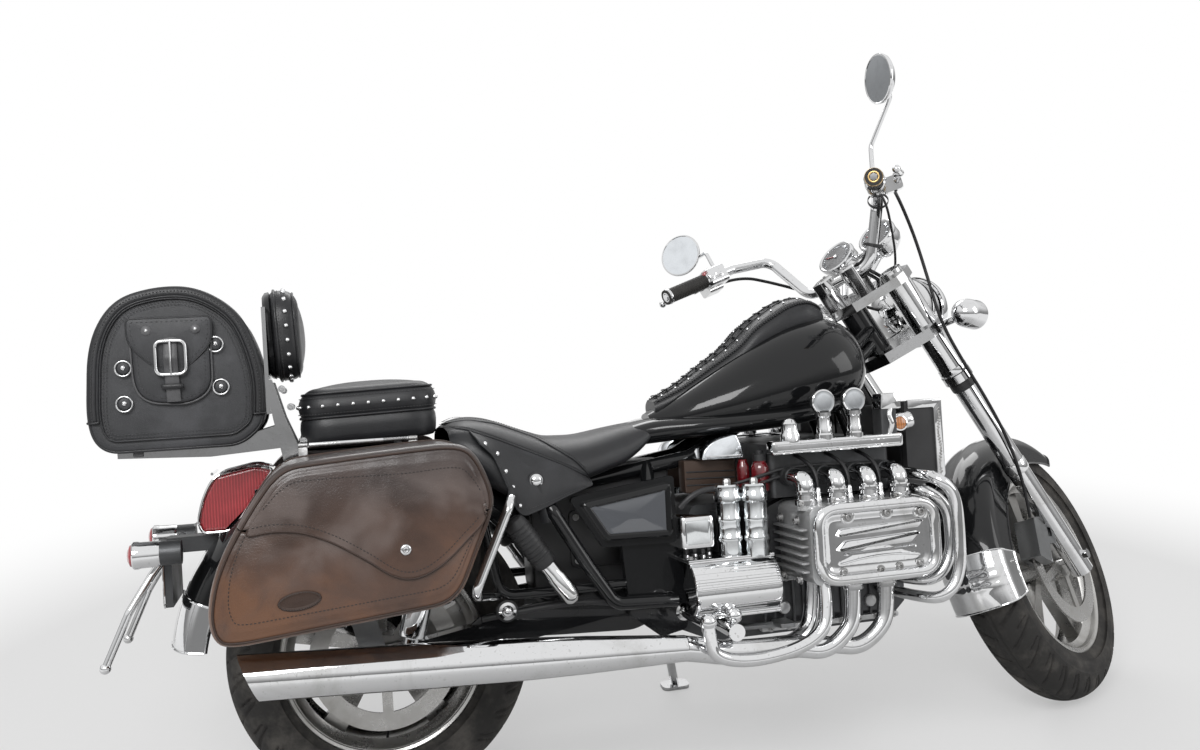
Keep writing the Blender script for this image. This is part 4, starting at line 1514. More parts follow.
def front_end(context):
    """Front fender with its plated tip, headlight, gauges, mirrors, grips, signals and fork hardware."""
    skirts = [(60, 60), (75, 84), (100, 104), (150, 106), (193, 92)]
    piece, grid = fender("front_fender_skin", "front_end", FRONT_WHEEL, turned, 352.0, 83.0, (60, 193), skirts, 2.2)
    made = piece.build(45.0, thickness=0.0032)
    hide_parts("front_fender")
    trim = Piece("front_fender_trim", "front_end", "chrome", paint("black"), paint("chrome"), paint("steel"),
                 place=turned)
    for column in (0, -1):
        trim.pipe(as_given, 0, grid[:, column], 3.0, 8)
    trim.pipe(as_given, 0, grid[0], 3.0, 8)
    # plated tip over the rear end, with three pressed lines
    tip = grid[-25:] - (845.0, 0, 336.0)
    length = np.hypot(tip[..., 0], tip[..., 2])[..., None]
    out = tip / length * (1, 0, 1)
    lift = 2.6 + 1.3 * np.sum([np.exp(-((np.arange(25) - at) / 0.9) ** 2) for at in (7, 11, 15)], axis=0)
    sideways = np.zeros_like(tip)
    sideways[..., 1] = np.sign(tip[..., 1]) * np.clip((np.abs(tip[..., 1]) - 60) / 23, 0, 1) * 2.4
    tip = grid[-25:] + out * lift[:, None, None] * (1, 0, 1) + sideways
    trim.grid(tip, 1)
    for row in (tip[0], tip[-1]):
        trim.pipe(as_given, 1, row, 2.4, 8)
    for column in (0, -1):
        trim.pipe(as_given, 1, tip[:, column], 2.6, 8)
    spot = tip[6, 4]
    bolts(trim, [spot, spot * (1, -1, 1)], [(0, -1.0, 0), (0, 1.0, 0)], 4.6, 5.0, 2)
    trim.build(40.0)

    lamp = Piece("headlight_face", "front_end", "chrome", paint("clear"), paint("chrome"), paint("dull_chrome"),
                 place=turned)
    centre, ahead = np.array((620.0, 0.0, 1060.0)), np.array((1.0, 0, 0))
    lamp.spun(as_given, 1, [(95, 50), (96.5, 56), (96.5, 68), (94, 76), (89, 80), (84, 80)], centre, ahead, 64)
    lamp.spun(as_given, 0, [(85, 79), (70, 88), (50, 94), (25, 98), (0, 99)], centre, ahead, 64)
    lamp.spun(as_given, 1, [(0, -80), (20, -79.5), (40, -70), (62, -55), (78, -32), (86, -6), (88.5, 20), (88.5, 52)],
              centre, ahead, 64)
    lamp.spun(as_given, 2, [(89.5, 2), (91, 5), (91, 10), (89.5, 13)], centre, ahead, 64)
    lamp.build(35.0)

    tilt = np.radians(35.0)
    face_way = np.array((-np.cos(tilt), 0, np.sin(tilt)))
    dials = Piece("gauge_faces", "front_end", "chrome", paint("chrome"), paint("dial"), paint("white_face"),
                  paint("red"), place=turned)
    for y in (-64.0, 64.0):
        pod = np.array((500.0, y, 1218.0))
        dials.spun(as_given, 0, [(49, 8), (52.5, 12), (53.5, 18), (52.5, 24), (49, 26), (45.5, 24.6), (44.5, 23.6)],
                   pod, face_way, 48)
        dials.spun(as_given, 0, [(0, -40), (20, -39), (32, -34), (44, -24), (50.5, -10), (51, 10)], pod, face_way, 48)
        dials.spun(as_given, 1, [(45, 23.4), (0, 23.4)], pod, face_way, 48)
        turn = np.radians(np.linspace(-130, 130, 27))
        first, second = across(face_way)
        marks = [np.stack([pod + 23.9 * face_way + r * (np.sin(a) * first + np.cos(a) * second)
                           for r in (34.0, 41.0 if k % 3 == 0 else 38.0)]) for k, a in enumerate(turn)]
        for line in marks:
            dials.pipe(as_given, 2, line, 0.8, 5)
        dials.pipe(as_given, 3, np.stack([pod + 24.6 * face_way, pod + 24.6 * face_way - 30 * first + 10 * second]),
                   1.2, 6)
        dials.spun(as_given, 0, [(0, 27), (4, 26.6), (5, 24), (5, 22)], pod, face_way, 20)
    dials.build(35.0)

    bars = Piece("bar_fittings", "front_end", "chrome", paint("chrome"), paint("rubber"), paint("glass"),
                 paint("brass"), paint("red"), paint("steel"), place=steered)
    end = on_axis(GRIP_END)
    way = unit(on_axis(GRIP_END + GRIP_WAY * 10) - end)
    grip_rings = np.linspace(-116, 2, 120)
    wave = 17.6 + 0.9 * np.abs(np.sin(np.pi * grip_rings / 9.0)) ** 0.6
    grip = np.column_stack((wave, grip_rings))
    for hand, cap, side in ((mirrored, 3, "right"), (as_given, 0, "left")):
        centre, facing = MIRRORS[side]
        mirror_at, mirror_way = on_axis(centre), unit(on_axis(centre + facing * 10) - on_axis(centre))
        bars.spun(hand, 1, grip, end, way, 28)
        bars.spun(hand, 0, [(17, -122), (21, -120), (21.5, -117), (18, -114)], end, way, 32)
        bars.spun(hand, cap, [(17, 0), (20, 2), (20.6, 5), (19.4, 9), (14, 11.5), (11, 12.4), (9.5, 12.0)], end, way,
                  32)
        bars.spun(hand, 0, [(9.5, 12), (8.5, 14), (0, 14.5)], end, way, 6)
        rim = [(46, -12), (54, -6), (56.5, 0), (57, 3), (56, 5.6), (53.5, 6), (52.4, 5.2)]
        bars.spun(hand, 0, rim, mirror_at, mirror_way, 56)
        bars.spun(hand, 2, [(52.6, 5.0), (30, 5.6), (0, 6.0)], mirror_at, mirror_way, 56)
        bars.spun(hand, 0, [(0, -19), (16, -18), (34, -15), (46, -11)], mirror_at, mirror_way, 48)
        joint = mirror_at - mirror_way * 20
        bars.spun(hand, 0, [(0, -8), (6, -7), (9, -3), (9, 3), (6, 7), (0, 8)], joint, (0.2, 0.3, 1.0), 20)
        housing = end - way * 140
        bars.spun(hand, 0, [(23, -22), (25, -20), (25, -2), (23.6, 0), (25, 2), (25, 18), (23, 21)], housing, way, 30)
        spot = housing + (-20.0, 0, 18.0)
        bars.spun(hand, 4, [(7, 0), (7, 6), (5, 8), (0, 8.4)], spot, unit((-0.5, 0.0, 0.8)), 16)
        domes(bars, hand([housing + (0, -4, 26), housing + (0, 10, 25)]), (0, 0, 1.0), 3.4, 2.6, 5)
    bars.build(35.0)

    lamps = Piece("front_signal_faces", "front_end", "chrome", paint("amber"), paint("chrome"), place=turned)
    for y in (-226.0, 226.0):
        spot = np.array((470.0, y, 932.0))
        lamps.spun(as_given, 1, [(0, -42), (14, -40), (24, -32), (32, -20), (35, -6), (35.5, 20), (36.5, 28),
                                 (36.5, 36), (34, 39), (31, 39)], spot, ahead, 40)
        lamps.spun(as_given, 0, [(31.5, 38), (24, 42), (12, 45), (0, 46)], spot, ahead, 40)
    lamps.build(35.0)

    # cables and hoses tied along the right bar, with two strands that drop behind the lamp
    loom = Piece("bar_loom", "front_end", "rubber", paint("hose"), paint("satin_black"), place=steered)
    far = on_axis(np.array([(STEER_FOOT - 674, -169, 1244), (STEER_FOOT - 771, -224, 1234),
                            (STEER_FOOT - 880, -276, 1197)], float))
    path = bowed(np.concatenate(([(30, -50, 1290), (30, -92, 1290)], far)), 80)
    for shift, radius in (((17, 0, 3), 5.5), ((11, 0, -15), 5.0), ((-3, 3, -18), 4.2), ((17, 0, 13), 4.0)):
        sway = 1.6 * np.sin(np.linspace(0, 9, 80) + radius)[:, None] * (1, 0, 1)
        loom.pipe(as_given, 0, path + shift + sway, radius, 10)
    for at in (16, 38, 60):
        way = unit(path[at + 1] - path[at - 1])
        loom.spun(as_given, 1, [(23.5, -4), (25, -3), (25, 3), (23.5, 4)], path[at] + (6, 0, -4), way, 28)
    for lead in (0.0, 13.0):
        drop = [(46, -52 - lead, 1292), (82, -74 - lead, 1236), (92, -84 - lead, 1140), (80, -88 - lead, 1040),
                (58, -84 - lead, 940)]
        loom.pipe(as_given, 0, bowed(drop, 60), 4.6, 10)
    loom.build(50.0)

    forks = Piece("fork_fittings", "front_end", "chrome", paint("chrome"), paint("satin_black"), paint("steel"),
                  place=steered)
    for y in (-118.0, 118.0):
        leg = np.array((50.5, y, 0.0))
        along = np.array((0, 0, 1.0))
        forks.spun(as_given, 0, [(35.2, 948), (36, 952), (36, 960), (35, 964)], leg, along, 36)
        forks.spun(as_given, 1, [(30, 900), (31, 904), (31, 922), (34.5, 926), (35.5, 930), (35.5, 944), (34, 948)],
                   leg, along, 36)
        forks.spun(as_given, 0, [(22, 1240), (24, 1243), (24, 1250), (20, 1254), (0, 1255)], leg, along, 6)
        forks.spun(as_given, 0, [(28.6, 640), (30.5, 644), (30.5, 668), (28.6, 672)], leg, along, 36)
        spots = np.array([(50.5 + 30, y, 480), (50.5 + 30, y, 520)], float)
        domes(forks, spots, (1.0, 0, 0), 6, 4, 2)
    for w, r in ((1079, 8), (1229, 9)):
        spots = np.array([(92, -60, w), (92, 60, w)], float)
        bolts(forks, spots, (1.0, 0, 0), r * 0.6, 6, 2)
    for y in (-34.0, 34.0):
        forks.spun(as_given, 0, [(15, 1238), (17, 1240), (17, 1262), (22, 1270), (22, 1310), (18, 1314), (0, 1315)],
                   (30.0, y, 0.0), (0, 0, 1.0), 28)
        bolts(forks, [(20.0, y, 1313.0), (40.0, y, 1313.0)], (0, 0, 1.0), 4, 5, 2)
    forks.build(35.0)


GRIP_END = np.array((45.0 + 0.0, 306.0, 1173.0)) + (0, 0, 0)
GRIP_WAY = unit(np.array((-181.0, 82.0, -61.0)))
MIRRORS = {
    "left": (np.array((STEER_FOOT - 794.0, 351.0, 1333.0)), unit(np.array((-1.0, -0.24, 0.05)))),
    "right": (np.array((STEER_FOOT - 849.0, 351.0, 1428.0)), unit(np.array((-1.0, -0.6, 0.05))))}


def wheels(context):
    """Rim flanges, hub bolts, hub covers and valve stems."""
    for name, body, wheel, place, rim, width in (
            ("front_wheel_trim", "front_wheel", FRONT_WHEEL, turned, 226.0, 150.0),
            ("rear_wheel_trim", "rear_wheel", REAR_WHEEL, upright, 214.0, 180.0)):
        trim = Piece(name, body, "wheel_alloy", paint("wheel"), paint("steel"), paint("satin_black"), place=place)
        bead = width * 0.36
        for sign in (-1.0, 1.0):
            axis = np.array((0, sign, 0))
            flange = [(rim - 26, bead - 22), (rim - 14, bead - 14), (rim - 9, bead - 4), (rim - 5, bead + 3),
                      (rim + 1, bead + 5.5), (rim + 4, bead + 4), (rim + 3, bead)]
            trim.spun(as_given, 0, flange, wheel, axis, 120)
        turn = np.radians(np.arange(5) * 72.0 + 18)
        for sign in (-1.0, 1.0):
            spots = wheel + np.column_stack((44 * np.cos(turn), np.full(5, sign * 58.0), 44 * np.sin(turn)))
            bolts(trim, spots, (0, sign, 0), 6.0, 6.0, 1)
            trim.spun(as_given, 0, [(34, 52), (36, 58), (35, 62), (30, 64), (18, 65), (16, 66)], wheel,
                      (0, sign, 0), 40)
        valve = wheel + np.array((0, 0, -(rim - 12)))
        trim.spun(as_given, 2, [(3, 0), (3, 26), (4, 27), (4, 34), (0, 35)], valve, unit((0.1, -0.35, 1.0)),
                  10)
        trim.build(35.0)


def tail(context):
    """Rear fender skin, wraparound lamp, signal lenses, blank plate and the bolts of the rack."""
    skirts = [(38, 62), (60, 70), (150, 74), (172, 70)]
    skin, grid = fender("rear_fender_skin", "chassis", REAR_WHEEL, upright, 426.0, 109.0, (38, 172), skirts, 2.0)
    made = skin.build(45.0, thickness=0.0032)
    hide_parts("rear_fender")
    edge = Piece("rear_fender_trim", "chassis", "black_paint", paint("black"), paint("chrome"))
    for column in (0, -1):
        edge.pipe(as_given, 0, grid[:, column], 3.2, 8)
    tip = grid[-17:]
    away = unit((tip - REAR_WHEEL) * (1, 0, 1))
    sideways = np.zeros_like(tip)
    sideways[..., 1] = np.sign(tip[..., 1]) * np.clip((np.abs(tip[..., 1]) - 84) / 24, 0, 1) * 2.6
    tip = tip + away * 3.0 + sideways
    edge.grid(tip, 1)
    for row in (tip[0], tip[-1]):
        edge.pipe(as_given, 1, row, 2.8, 8)
    for column in (0, -1):
        edge.pipe(as_given, 1, tip[:, column], 2.8, 8)
    edge.build(40.0)
    lamp = Piece("tail_lamp_trim", "chassis", "red_lens", paint("red"), paint("chrome"), paint("satin_black"))
    outline = rounded([(-1052, 744), (-1090, 755), (-1172, 739), (-1197, 696), (-1210, 641), (-1199, 620),
                       (-1140, 620)], (10, 16, 24, 30, 16, 8, 20), 7)
    edge = even(outline, 120, True)
    for y in (-71.5, 71.5):
        ring = inset(edge, 1.0)
        lamp.loop(as_given, 1, np.column_stack((ring[:, 0], np.full(120, y), ring[:, 1])), 3.2, 10)
    for x, z, w in ((-1214, 640, 3.4), (-1176, 742, 3.0)):
        lamp.pipe(as_given, 1, [(x, -72, z), (x, 72, z)], w, 10)
    centre = np.array((-1296.0, 0.0, 597.0))
    for y in (-160.0, 160.0):
        spot = centre + (0, y, 0)
        back = np.array((-1.0, 0, 0))
        lamp.spun(as_given, 1, [(0, -42), (13, -40), (22, -30), (25.5, -16), (26, 14), (27.5, 20), (27.5, 27),
                                (25, 29.5), (22.5, 29)], spot, back, 36)
        lamp.spun(as_given, 0, [(23, 28), (21, 34), (14, 38), (0, 40)], spot, back, 36)
    plate = block(rounded([(-92, 481), (92, 481), (92, 587), (-92, 587)], (8, 8, 8, 8), 6), -1281.5, -1279, 0.8,
                  "cross")
    lamp.grid(plate, 2, around=True, ends=True)
    ring = rounded([(-95, 478), (95, 478), (95, 590), (-95, 590)], (9, 9, 9, 9), 6)
    lamp.loop(as_given, 1, np.column_stack((np.full(len(ring), -1279.0), ring)), 2.6, 8)
    spots = np.array([(-1281, -60, 578), (-1281, 60, 578)], float)
    bolts(lamp, spots, (-1.0, 0, 0), 3.6, 3.0, 1)
    for y in (-139.0, 139.0):
        sign = np.sign(y)
        spots = np.array([(-1010, y, 872), (-1026, y, 910), (-988, y, 800), (-1130, y, 792)], float)
        bolts(lamp, spots, (0, sign, 0), 5.0, 5.0, 1)
    lamp.build(35.0)


def frame_parts(context):
    """Side cover edges, shock springs' covers, peg rubber, pedal pads and chrome stays on the frame."""
    parts = Piece("frame_trim", "chassis", "black_paint", paint("black"), paint("chrome"), paint("panel_gloss"))
    panel = rounded([(-424, 628), (-218, 658), (-220, 540), (-372, 543)], (16, 14, 14, 14), 7)
    for hand in (as_given, mirrored):
        ring = even(panel, 110, True)
        rows = []
        for draw, y in ((0, -201.0), (0.5, -204.5), (4, -206.6), (11, -206.0), (13, -204.2), (15, -203.8)):
            line = inset(ring, draw)
            rows.append(np.column_stack((line[:, 0], np.full(110, y), line[:, 1])))
        line = inset(ring, 15)
        middle = line.mean(0)
        for t in np.linspace(0, 1, 9)[1:]:
            flat = line * (1 - t) + middle * t
            rows.append(np.column_stack((flat[:, 0], np.full(110, -203.8 - 3.2 * (1 - (1 - t) ** 2)), flat[:, 1])))
        parts.grid(hand(np.stack(rows[:6])), 0, around=True)
        parts.grid(hand(np.stack(rows[5:])), 2, around=True)
        low, high = np.array((-800.0, -163.0, 350.0)), np.array((-716.0, -163.0, 668.0))
        way = unit(high - low)
        total = np.linalg.norm(high - low)
        cover = [(24, total * 0.50), (30.5, total * 0.505), (31.5, total * 0.52), (31.5, total * 0.93),
                 (28, total * 0.95)]
        parts.spun(hand, 0, cover, low, way, 36)
        cover = [(20, 26), (27.5, 30), (28.5, 36), (28.5, total * 0.46), (26, total * 0.475), (22, total * 0.48)]
        parts.spun(hand, 1, cover, low, way, 36)
        spots = np.array([low, high]) * (1, 0, 1) + (0, -186, 0)
        domes(parts, hand(spots), hand(OUTWARD), 11, 9, 1)
    parts.build(35.0)

    # folded passenger peg: a rubber sleeve over a plated end
    pegs = Piece("passenger_peg_sleeves", "chassis", "rubber", paint("satin_black"), paint("chrome"), paint("steel"))
    high, low = np.array((-577.0, -214.0, 609.0)), np.array((-449.0, -214.0, 422.0))
    way = unit(low - high)
    for hand in (as_given, mirrored):
        sleeve = [(0, -2), (15, 0), (22, 5), (25, 14), (25.5, 60), (24, 118), (20, 124)]
        pegs.spun(hand, 0, sleeve, high, way, 32)
        for at in range(24, 112, 11):
            pegs.spun(hand, 0, [(24.5, at - 2.5), (26.6, at - 1), (26.6, at + 1), (24.5, at + 2.5)], high, way, 32)
        end = [(16, 122), (18, 126), (18, 150), (20.5, 158), (20.5, 206), (18, 216), (12, 222), (0, 224)]
        pegs.spun(hand, 1, end, high, way, 32)
        pegs.pipe(hand, 2, [(-461, -214, 440), (-461, -160, 436)], 10.0, 14)
    made = pegs.build(35.0)
    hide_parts("passenger_pegs")

    # plated sleeve on the rear frame tube and a black guard under the swingarm
    extra = Piece("lower_side_panels", "chassis", "black_paint", paint("black"), paint("satin_black"))
    for hand in (as_given, mirrored):
        shape = rounded([(-700, 352), (-470, 338), (-300, 330), (-236, 352), (-262, 418), (-420, 424), (-640, 400)], 16)
        extra.slab(hand, 0, shape, -128, -120, 3)
        extra.pipe(hand, 1, bowed([(-640, -136, 392), (-480, -138, 410), (-330, -138, 400), (-270, -136, 360)], 50),
                   8, 12)
    extra.build(35.0)

    # black lower lobe under the tank that runs back to the seat
    lobe = Piece("tank_lower_lobe", "chassis", "black_paint", paint("black"))
    stations = np.array([(-322, 66, 728, 770), (-270, 80, 732, 782), (-206, 92, 736, 796), (-120, 122, 742, 800),
                         (0, 148, 748, 806),
                         (120, 158, 756, 812), (220, 150, 772, 824), (262, 120, 792, 834)], float)
    x = np.linspace(-322, 262, 90)
    smooth = [curve(stations[:, (0, k)], 300) for k in (1, 2, 3)]
    half, low, high = (np.interp(x, line[:, 0], line[:, 1])[:, None] for line in smooth)
    turn = np.linspace(0, 2 * np.pi, 72, endpoint=False)[None]
    y = half * np.sign(np.cos(turn)) * np.abs(np.cos(turn)) ** 0.55
    z = (low + high) / 2 + (high - low) / 2 * np.sign(np.sin(turn)) * np.abs(np.sin(turn)) ** 0.8
    lobe.grid(np.stack((np.broadcast_to(x[:, None], y.shape), y, z), -1), 0, around=True, ends=True)
    lobe.build(50.0)

    # box between the frame rails below the seat
    inner = Piece("under_seat_box", "chassis", "black_paint", paint("satin_black"), paint("steel"))
    inner.slab(as_given, 0, rounded([(-505, 404), (-176, 404), (-176, 700), (-505, 700)], (40, 10, 10, 60), 6), -60,
               60, 5)
    for hand in (as_given, mirrored):
        inner.slab(hand, 0, box_outline(-420, 470, -250, 600, 14), -66, -55, 3)
        spots = np.array([(-404, -66, 486), (-266, -66, 486), (-404, -66, 584), (-266, -66, 584)], float)
        bolts(inner, hand(spots), hand((0, -1.0, 0)), 5.0, 4.0, 1)
    inner.build(35.0)


# ------------------------------------------------------------------ stage and cords
def stage(context):
    """Camera at its viewing angle, pale floor that fades to white far off, soft lamps and a pale sky."""
    look = context.scene.cruiser_stage
    roll = np.radians(-0.56069135)
    right = np.array((0.96564589, -0.25504269, -0.04981207)) @ UPRIGHT
    up = np.array((0.04499727, -0.02468213, 0.99868215)) @ UPRIGHT
    ahead = np.array((0.25593605, 0.96661472, 0.01235798)) @ UPRIGHT
    turned_right = right * np.cos(roll) + up * np.sin(roll)
    turned_up = up * np.cos(roll) - right * np.sin(roll)
    data = bpy.data.cameras.new("camera")
    data.lens, data.sensor_width, data.clip_end = look.focal, 36.0, 100.0
    camera = bpy.data.objects.new("camera", data)
    place = np.eye(4)
    place[:3, :3] = np.stack((turned_right, turned_up, -ahead), -1)
    place[:3, 3] = upright((-983.5826, -2544.8280, 870.9038))
    camera.matrix_world = Matrix(place.tolist())
    context.scene.collection.objects.link(camera)
    context.scene.camera = camera

    floor = bpy.data.meshes.new("floor")
    side = 30.0
    level = CAD_BOX[0][2]
    floor.from_pydata([(-side, -side, level), (side, -side, level), (side, side, level), (-side, side, level)], [],
                      [(0, 1, 2, 3)])
    ground = bpy.data.objects.new("floor", floor)
    context.scene.collection.objects.link(ground)
    f = Finish("pale floor", Roughness=0.85, Specular_IOR_Level=0.2)
    away = f.node("ShaderNodeVectorMath", {"operation": "LENGTH"}, {0: f.spot((0.05, 0.0, level))}, "Value")
    grain = f.noise(60.0, 4.0, 0.6)
    tone = tuple(look.floor)
    f.to(Base_Color=f.mix(grain, tone, tuple(c * 0.97 for c in tone)))
    glow = f.node("ShaderNodeEmission", None, {"Color": (1, 1, 1, 1), "Strength": 1.0})
    seen = seen_rays(f)
    end = next(n for n in f.tree.nodes if n.type == "OUTPUT_MATERIAL")
    camera_ray = f.node("ShaderNodeLightPath", output="Is Camera Ray")
    blend = f.node("ShaderNodeMixShader", None, {0: (away.between(1.25, 3.0) * seen).most(camera_ray * 0.42)})
    f.tree.links.new(f.surface.outputs[0], blend.socket.node.inputs[1])
    f.tree.links.new(glow.socket, blend.socket.node.inputs[2])
    f.tree.links.new(blend.socket, end.inputs["Surface"])
    floor.materials.append(f.material)

    world = bpy.data.worlds.new("soft sky")
    world.use_nodes = True
    context.scene.world = world
    sky = Finish.__new__(Finish)
    sky.material, sky.tree = world, world.node_tree
    back = next(n for n in sky.tree.nodes if n.type == "BACKGROUND")
    back.inputs["Color"].default_value = (1.0, 1.0, 1.0, 1.0)
    rays = sky.node("ShaderNodeLightPath", output="Is Glossy Ray")
    rise = sky.node("ShaderNodeSeparateXYZ", None, {0: sky.node("ShaderNodeTexCoord", output="Generated")}, "Z")
    clouds = sky.noise(2.6, 4.0, 0.6, sky.node("ShaderNodeTexCoord", output="Generated"))
    dusk = 1.0 - (rise + clouds * 0.30).between(0.16, 0.62)
    strength = seen_rays(sky) * (1.0 - look.sky) + look.sky - rays * dusk * 0.72
    sky.tree.links.new(strength.socket, back.inputs["Strength"])

    lamps = (("key", (-1.9, -3.2, 3.6), (2.4, 1.6), look.key), ("fill", (3.4, -2.2, 2.4), (1.6, 2.2), look.key * 0.22),
             ("back", (0.4, 3.4, 3.2), (3.0, 1.4), look.key * 0.35))
    for name, spot, size, power in lamps:
        lamp = bpy.data.lights.new(name, "AREA")
        lamp.shape, lamp.size, lamp.size_y, lamp.energy = "RECTANGLE", size[0], size[1], power
        held = bpy.data.objects.new(name, lamp)
        aim = np.array((0.0, 0.0, 0.55)) - np.array(spot)
        first, second = across(-aim)
        place = np.eye(4)
        place[:3, :3] = np.stack((first, second, unit(-aim)), -1)
        place[:3, 3] = spot
        held.matrix_world = Matrix(place.tolist())
        context.scene.collection.objects.link(held)


def seen_rays(finish):
    """One where a ray comes from the camera, or from metal or glass, and nothing for the rays that light things."""
    rays = finish.node("ShaderNodeLightPath", output="Is Camera Ray")
    glossy = Shade(finish, rays.socket.node.outputs["Is Glossy Ray"])
    through = Shade(finish, rays.socket.node.outputs["Is Transmission Ray"])
    return rays.most(glossy).most(through)


BRAKE_ROUTE = [
    (-30, -272, 1445), (44, -240, 1427), (98, -214, 1372), (104, -196, 1285), (72, -182, 1190), (22, -170, 1085),
    (30, -160, 970), (32, -158, 860), (24, -152, 740), (4, -132, 620), (-14, -106, 540)]
CLUTCH_ROUTE = [(-30, 272, 1445), (44, 243, 1427), (104, 196, 1352), (132, 122, 1262), (152, 54, 1190), (192, 22, 1132)]
THROTTLE_ROUTE = [
    (-35, -238, 1448), (20, -218, 1412), (62, -176, 1340), (112, -122, 1256), (122, -64, 1188), (192, -22, 1132)]


def cord(name, node, route, radius):
    """A rubber-covered line on a smooth curve whose control points are the route, held on the front end."""
    data = bpy.data.curves.new(name, "CURVE")
    data.dimensions = "3D"
    data.bevel_depth, data.bevel_resolution, data.resolution_u, data.use_fill_caps = MM * radius, 4, 16, True
    line = data.splines.new("NURBS")
    points = steered(route)
    line.points.add(len(points) - 1)
    line.points.foreach_set("co", np.column_stack((points, np.ones(len(points)))).ravel())
    line.order_u = 3
    line.use_endpoint_u = True
    data.materials.append(paint("hose"))
    made = bpy.data.objects.new(name, data)
    bpy.context.scene.collection.objects.link(made)
    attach(made, "front_end")
    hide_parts(node)
    return made


def cords(context):
    """Front brake hose, clutch hose and throttle cable."""
    cord("brake_line", "brake_hose", BRAKE_ROUTE, 4.0)
    cord("clutch_line", "clutch_hose", CLUTCH_ROUTE, 4.0)
    cord("throttle_line", "throttle_cable", THROTTLE_ROUTE, 3.0)


def dress_nodes(context):
    """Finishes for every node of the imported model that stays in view."""
    dress("black", "frame", "fuel_tank", "side_covers", "rear_fender", "front_fender", "swingarm")
    dress("cast", "rear_caliper", "front_calipers", "foot_pedals")
    dress("bright_cast", "cylinder_heads", "gearbox_covers")
    dress("dark_cast", "tail_bracket", "engine_block", "intakes")
    dress("dull_chrome", "fork_clamps", "luggage_rack")
    dress("satin_black", "radiator_shrouds", "passenger_pegs")
    dress("chrome", "valve_covers", "headers", "mufflers", "lower_guards", "engine_guards",
          "bag_guards", "rear_bars", "shocks", "fork_legs", "headlight", "gauges", "handlebar",
          "hand_controls", "mirrors", "front_signals", "front_axle", "side_stand", "rider_pegs")
    dress("core", "radiator")
    dress("red", "tail_lamp")
    dress("wheel", "front_rim", "rear_rim")
    dress("rubber", "grips", "front_tyre", "rear_tyre")
    dress("black_leather", "rider_seat", "pillion_pad", "backrest_pad", "tail_bag", "tank_bib")
    dress("brown_leather", "saddlebag_right", "saddlebag_left", "saddlebag_lid_right", "saddlebag_lid_left")


# ------------------------------------------------------------------ operators
class CRUISER_OT_stage(Operator):
    """Place the camera, the pale floor, the soft lamps and the sky"""
    bl_idname, bl_label = "cruiser.stage", "Stage"

    def execute(self, context):
        stage(context)
        return {"FINISHED"}


class CRUISER_OT_cords(Operator):
    """Lay the brake hose, the clutch hose and the throttle cable"""
    bl_idname, bl_label = "cruiser.cords", "Hoses and cable"

    def execute(self, context):
        cords(context)
        return {"FINISHED"}


class CRUISER_OT_dress(Operator):
    """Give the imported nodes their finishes"""
    bl_idname, bl_label = "cruiser.dress", "Finishes"

    def execute(self, context):
        dress_nodes(context)
        return {"FINISHED"}


class CRUISER_OT_saddlebags(Operator):
    """Sew the two saddlebags with their hinged lids"""
    bl_idname, bl_label = "cruiser.saddlebags", "Saddlebags"

    def execute(self, context):
        saddlebag(context, -1)
        saddlebag(context, 1)
        return {"FINISHED"}


class CRUISER_OT_tyres(Operator):
    """Mould both tyres with their tread"""
    bl_idname, bl_label = "cruiser.tyres", "Tyres"

    def execute(self, context):
        tyre(context, "front_tread", "front_wheel", FRONT_WHEEL, turned, 336.0, 226.0, 150.0, 32)
        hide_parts("front_tyre")
        tyre(context, "rear_tread", "rear_wheel", REAR_WHEEL, upright, 329.0, 214.0, 180.0, 30)
        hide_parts("rear_tyre")
        return {"FINISHED"}


class CRUISER_OT_seats(Operator):
    """Upholster the saddle, the pillion pad and the backrest"""
    bl_idname, bl_label = "cruiser.seats", "Seats"

    def execute(self, context):
        rider_seat(context)
        pillion(context)
        backrest(context)
        return {"FINISHED"}


class CRUISER_OT_tail_bag(Operator):
    """Sew the tail bag with its pocket, strap and rings"""
    bl_idname, bl_label = "cruiser.tail_bag", "Tail bag"

    def execute(self, context):
        tail_bag(context)
        return {"FINISHED"}


class CRUISER_OT_tank_bib(Operator):
    """Lay the leather bib and the filler cap on the tank"""
    bl_idname, bl_label = "cruiser.tank_bib", "Tank bib"

    def execute(self, context):
        tank_bib(context)
        return {"FINISHED"}


class CRUISER_OT_engine(Operator):
    """Fit the covers, stacks, jars, bolts and small boxes of the engine"""
    bl_idname, bl_label = "cruiser.engine", "Engine parts"

    def execute(self, context):
        engine(context)
        return {"FINISHED"}


class CRUISER_OT_front_end(Operator):
    """Fit the front fender, lamps, gauges, mirrors, grips and fork parts"""
    bl_idname, bl_label = "cruiser.front_end", "Front end parts"

    def execute(self, context):
        front_end(context)
        return {"FINISHED"}


class CRUISER_OT_wheels(Operator):
    """Fit the rim flanges, hub caps and valves"""
    bl_idname, bl_label = "cruiser.wheels", "Wheel parts"

    def execute(self, context):
        wheels(context)
        return {"FINISHED"}


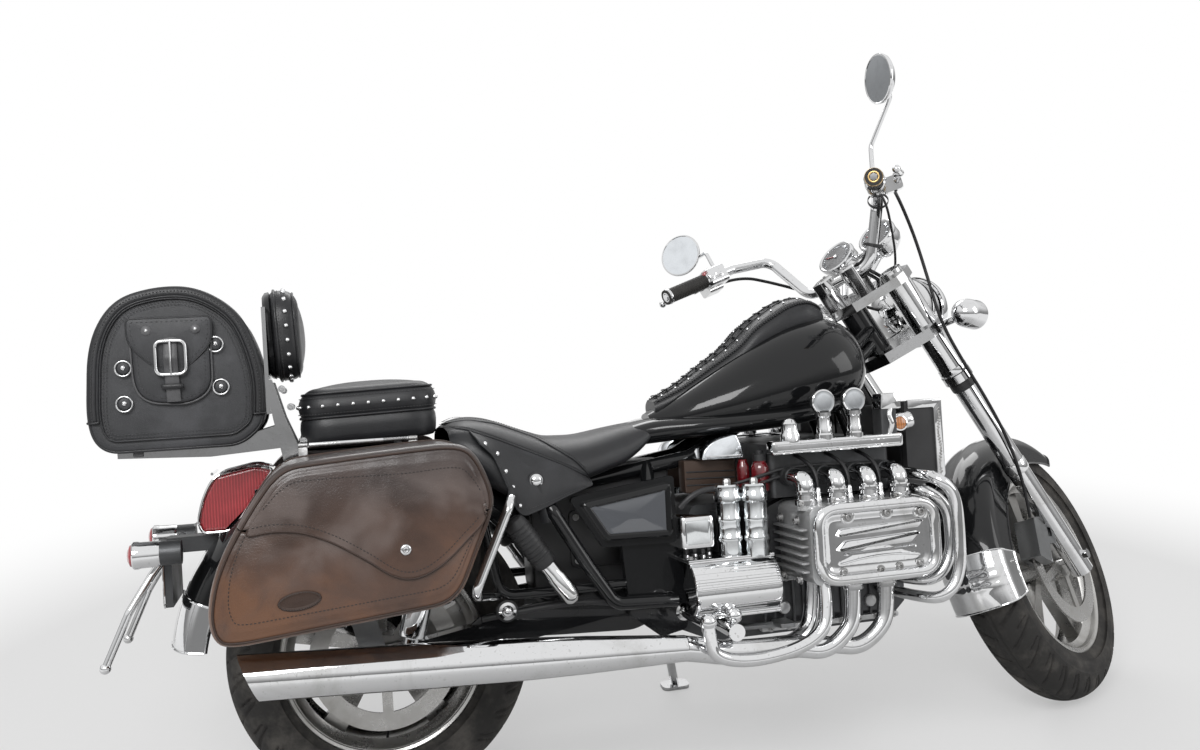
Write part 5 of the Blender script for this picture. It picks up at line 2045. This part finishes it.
class CRUISER_OT_tail(Operator):
    """Fit the tail lamp trim, rear signals and the blank plate"""
    bl_idname, bl_label = "cruiser.tail", "Tail parts"

    def execute(self, context):
        tail(context)
        return {"FINISHED"}


class CRUISER_OT_frame_parts(Operator):
    """Fit the side panels, shock covers and bolts"""
    bl_idname, bl_label = "cruiser.frame_parts", "Frame parts"

    def execute(self, context):
        frame_parts(context)
        return {"FINISHED"}


OPERATORS = [
    CRUISER_OT_stage, CRUISER_OT_cords, CRUISER_OT_dress, CRUISER_OT_saddlebags, CRUISER_OT_tyres, CRUISER_OT_seats,
    CRUISER_OT_tail_bag, CRUISER_OT_tank_bib, CRUISER_OT_engine, CRUISER_OT_front_end, CRUISER_OT_wheels,
    CRUISER_OT_tail,
    CRUISER_OT_frame_parts]


class CRUISER_PT_looks(Panel):
    """Settings and steps of the motorcycle's looks"""
    bl_idname, bl_label = "CRUISER_PT_looks", "Cruiser"
    bl_space_type, bl_region_type, bl_category = "VIEW_3D", "UI", "Cruiser"

    def draw(self, context):
        for group in (context.scene.cruiser_stage, context.scene.cruiser_finish, context.scene.cruiser_shape):
            for key in group.bl_rna.properties.keys():
                if key not in ("rna_type", "name"):
                    self.layout.prop(group, key)
        for kind in OPERATORS:
            self.layout.operator(kind.bl_idname)


GROUPS = {"cruiser_stage": CruiserStage, "cruiser_finish": CruiserFinish, "cruiser_shape": CruiserShape}


def register():
    for kind in (*GROUPS.values(), *OPERATORS, CRUISER_PT_looks):
        bpy.utils.register_class(kind)
    for name, kind in GROUPS.items():
        setattr(bpy.types.Scene, name, PointerProperty(type=kind))


def unregister():
    for name in GROUPS:
        delattr(bpy.types.Scene, name)
    for kind in (CRUISER_PT_looks, *reversed(OPERATORS), *GROUPS.values()):
        bpy.utils.unregister_class(kind)


def main():
    """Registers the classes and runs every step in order."""
    register()
    for kind in OPERATORS:
        getattr(bpy.ops.cruiser, kind.bl_idname.split(".")[1])()
    bpy.context.scene.view_settings.view_transform = "Standard"
    bpy.context.view_layer.update()


if __name__ == "__main__":
    main()
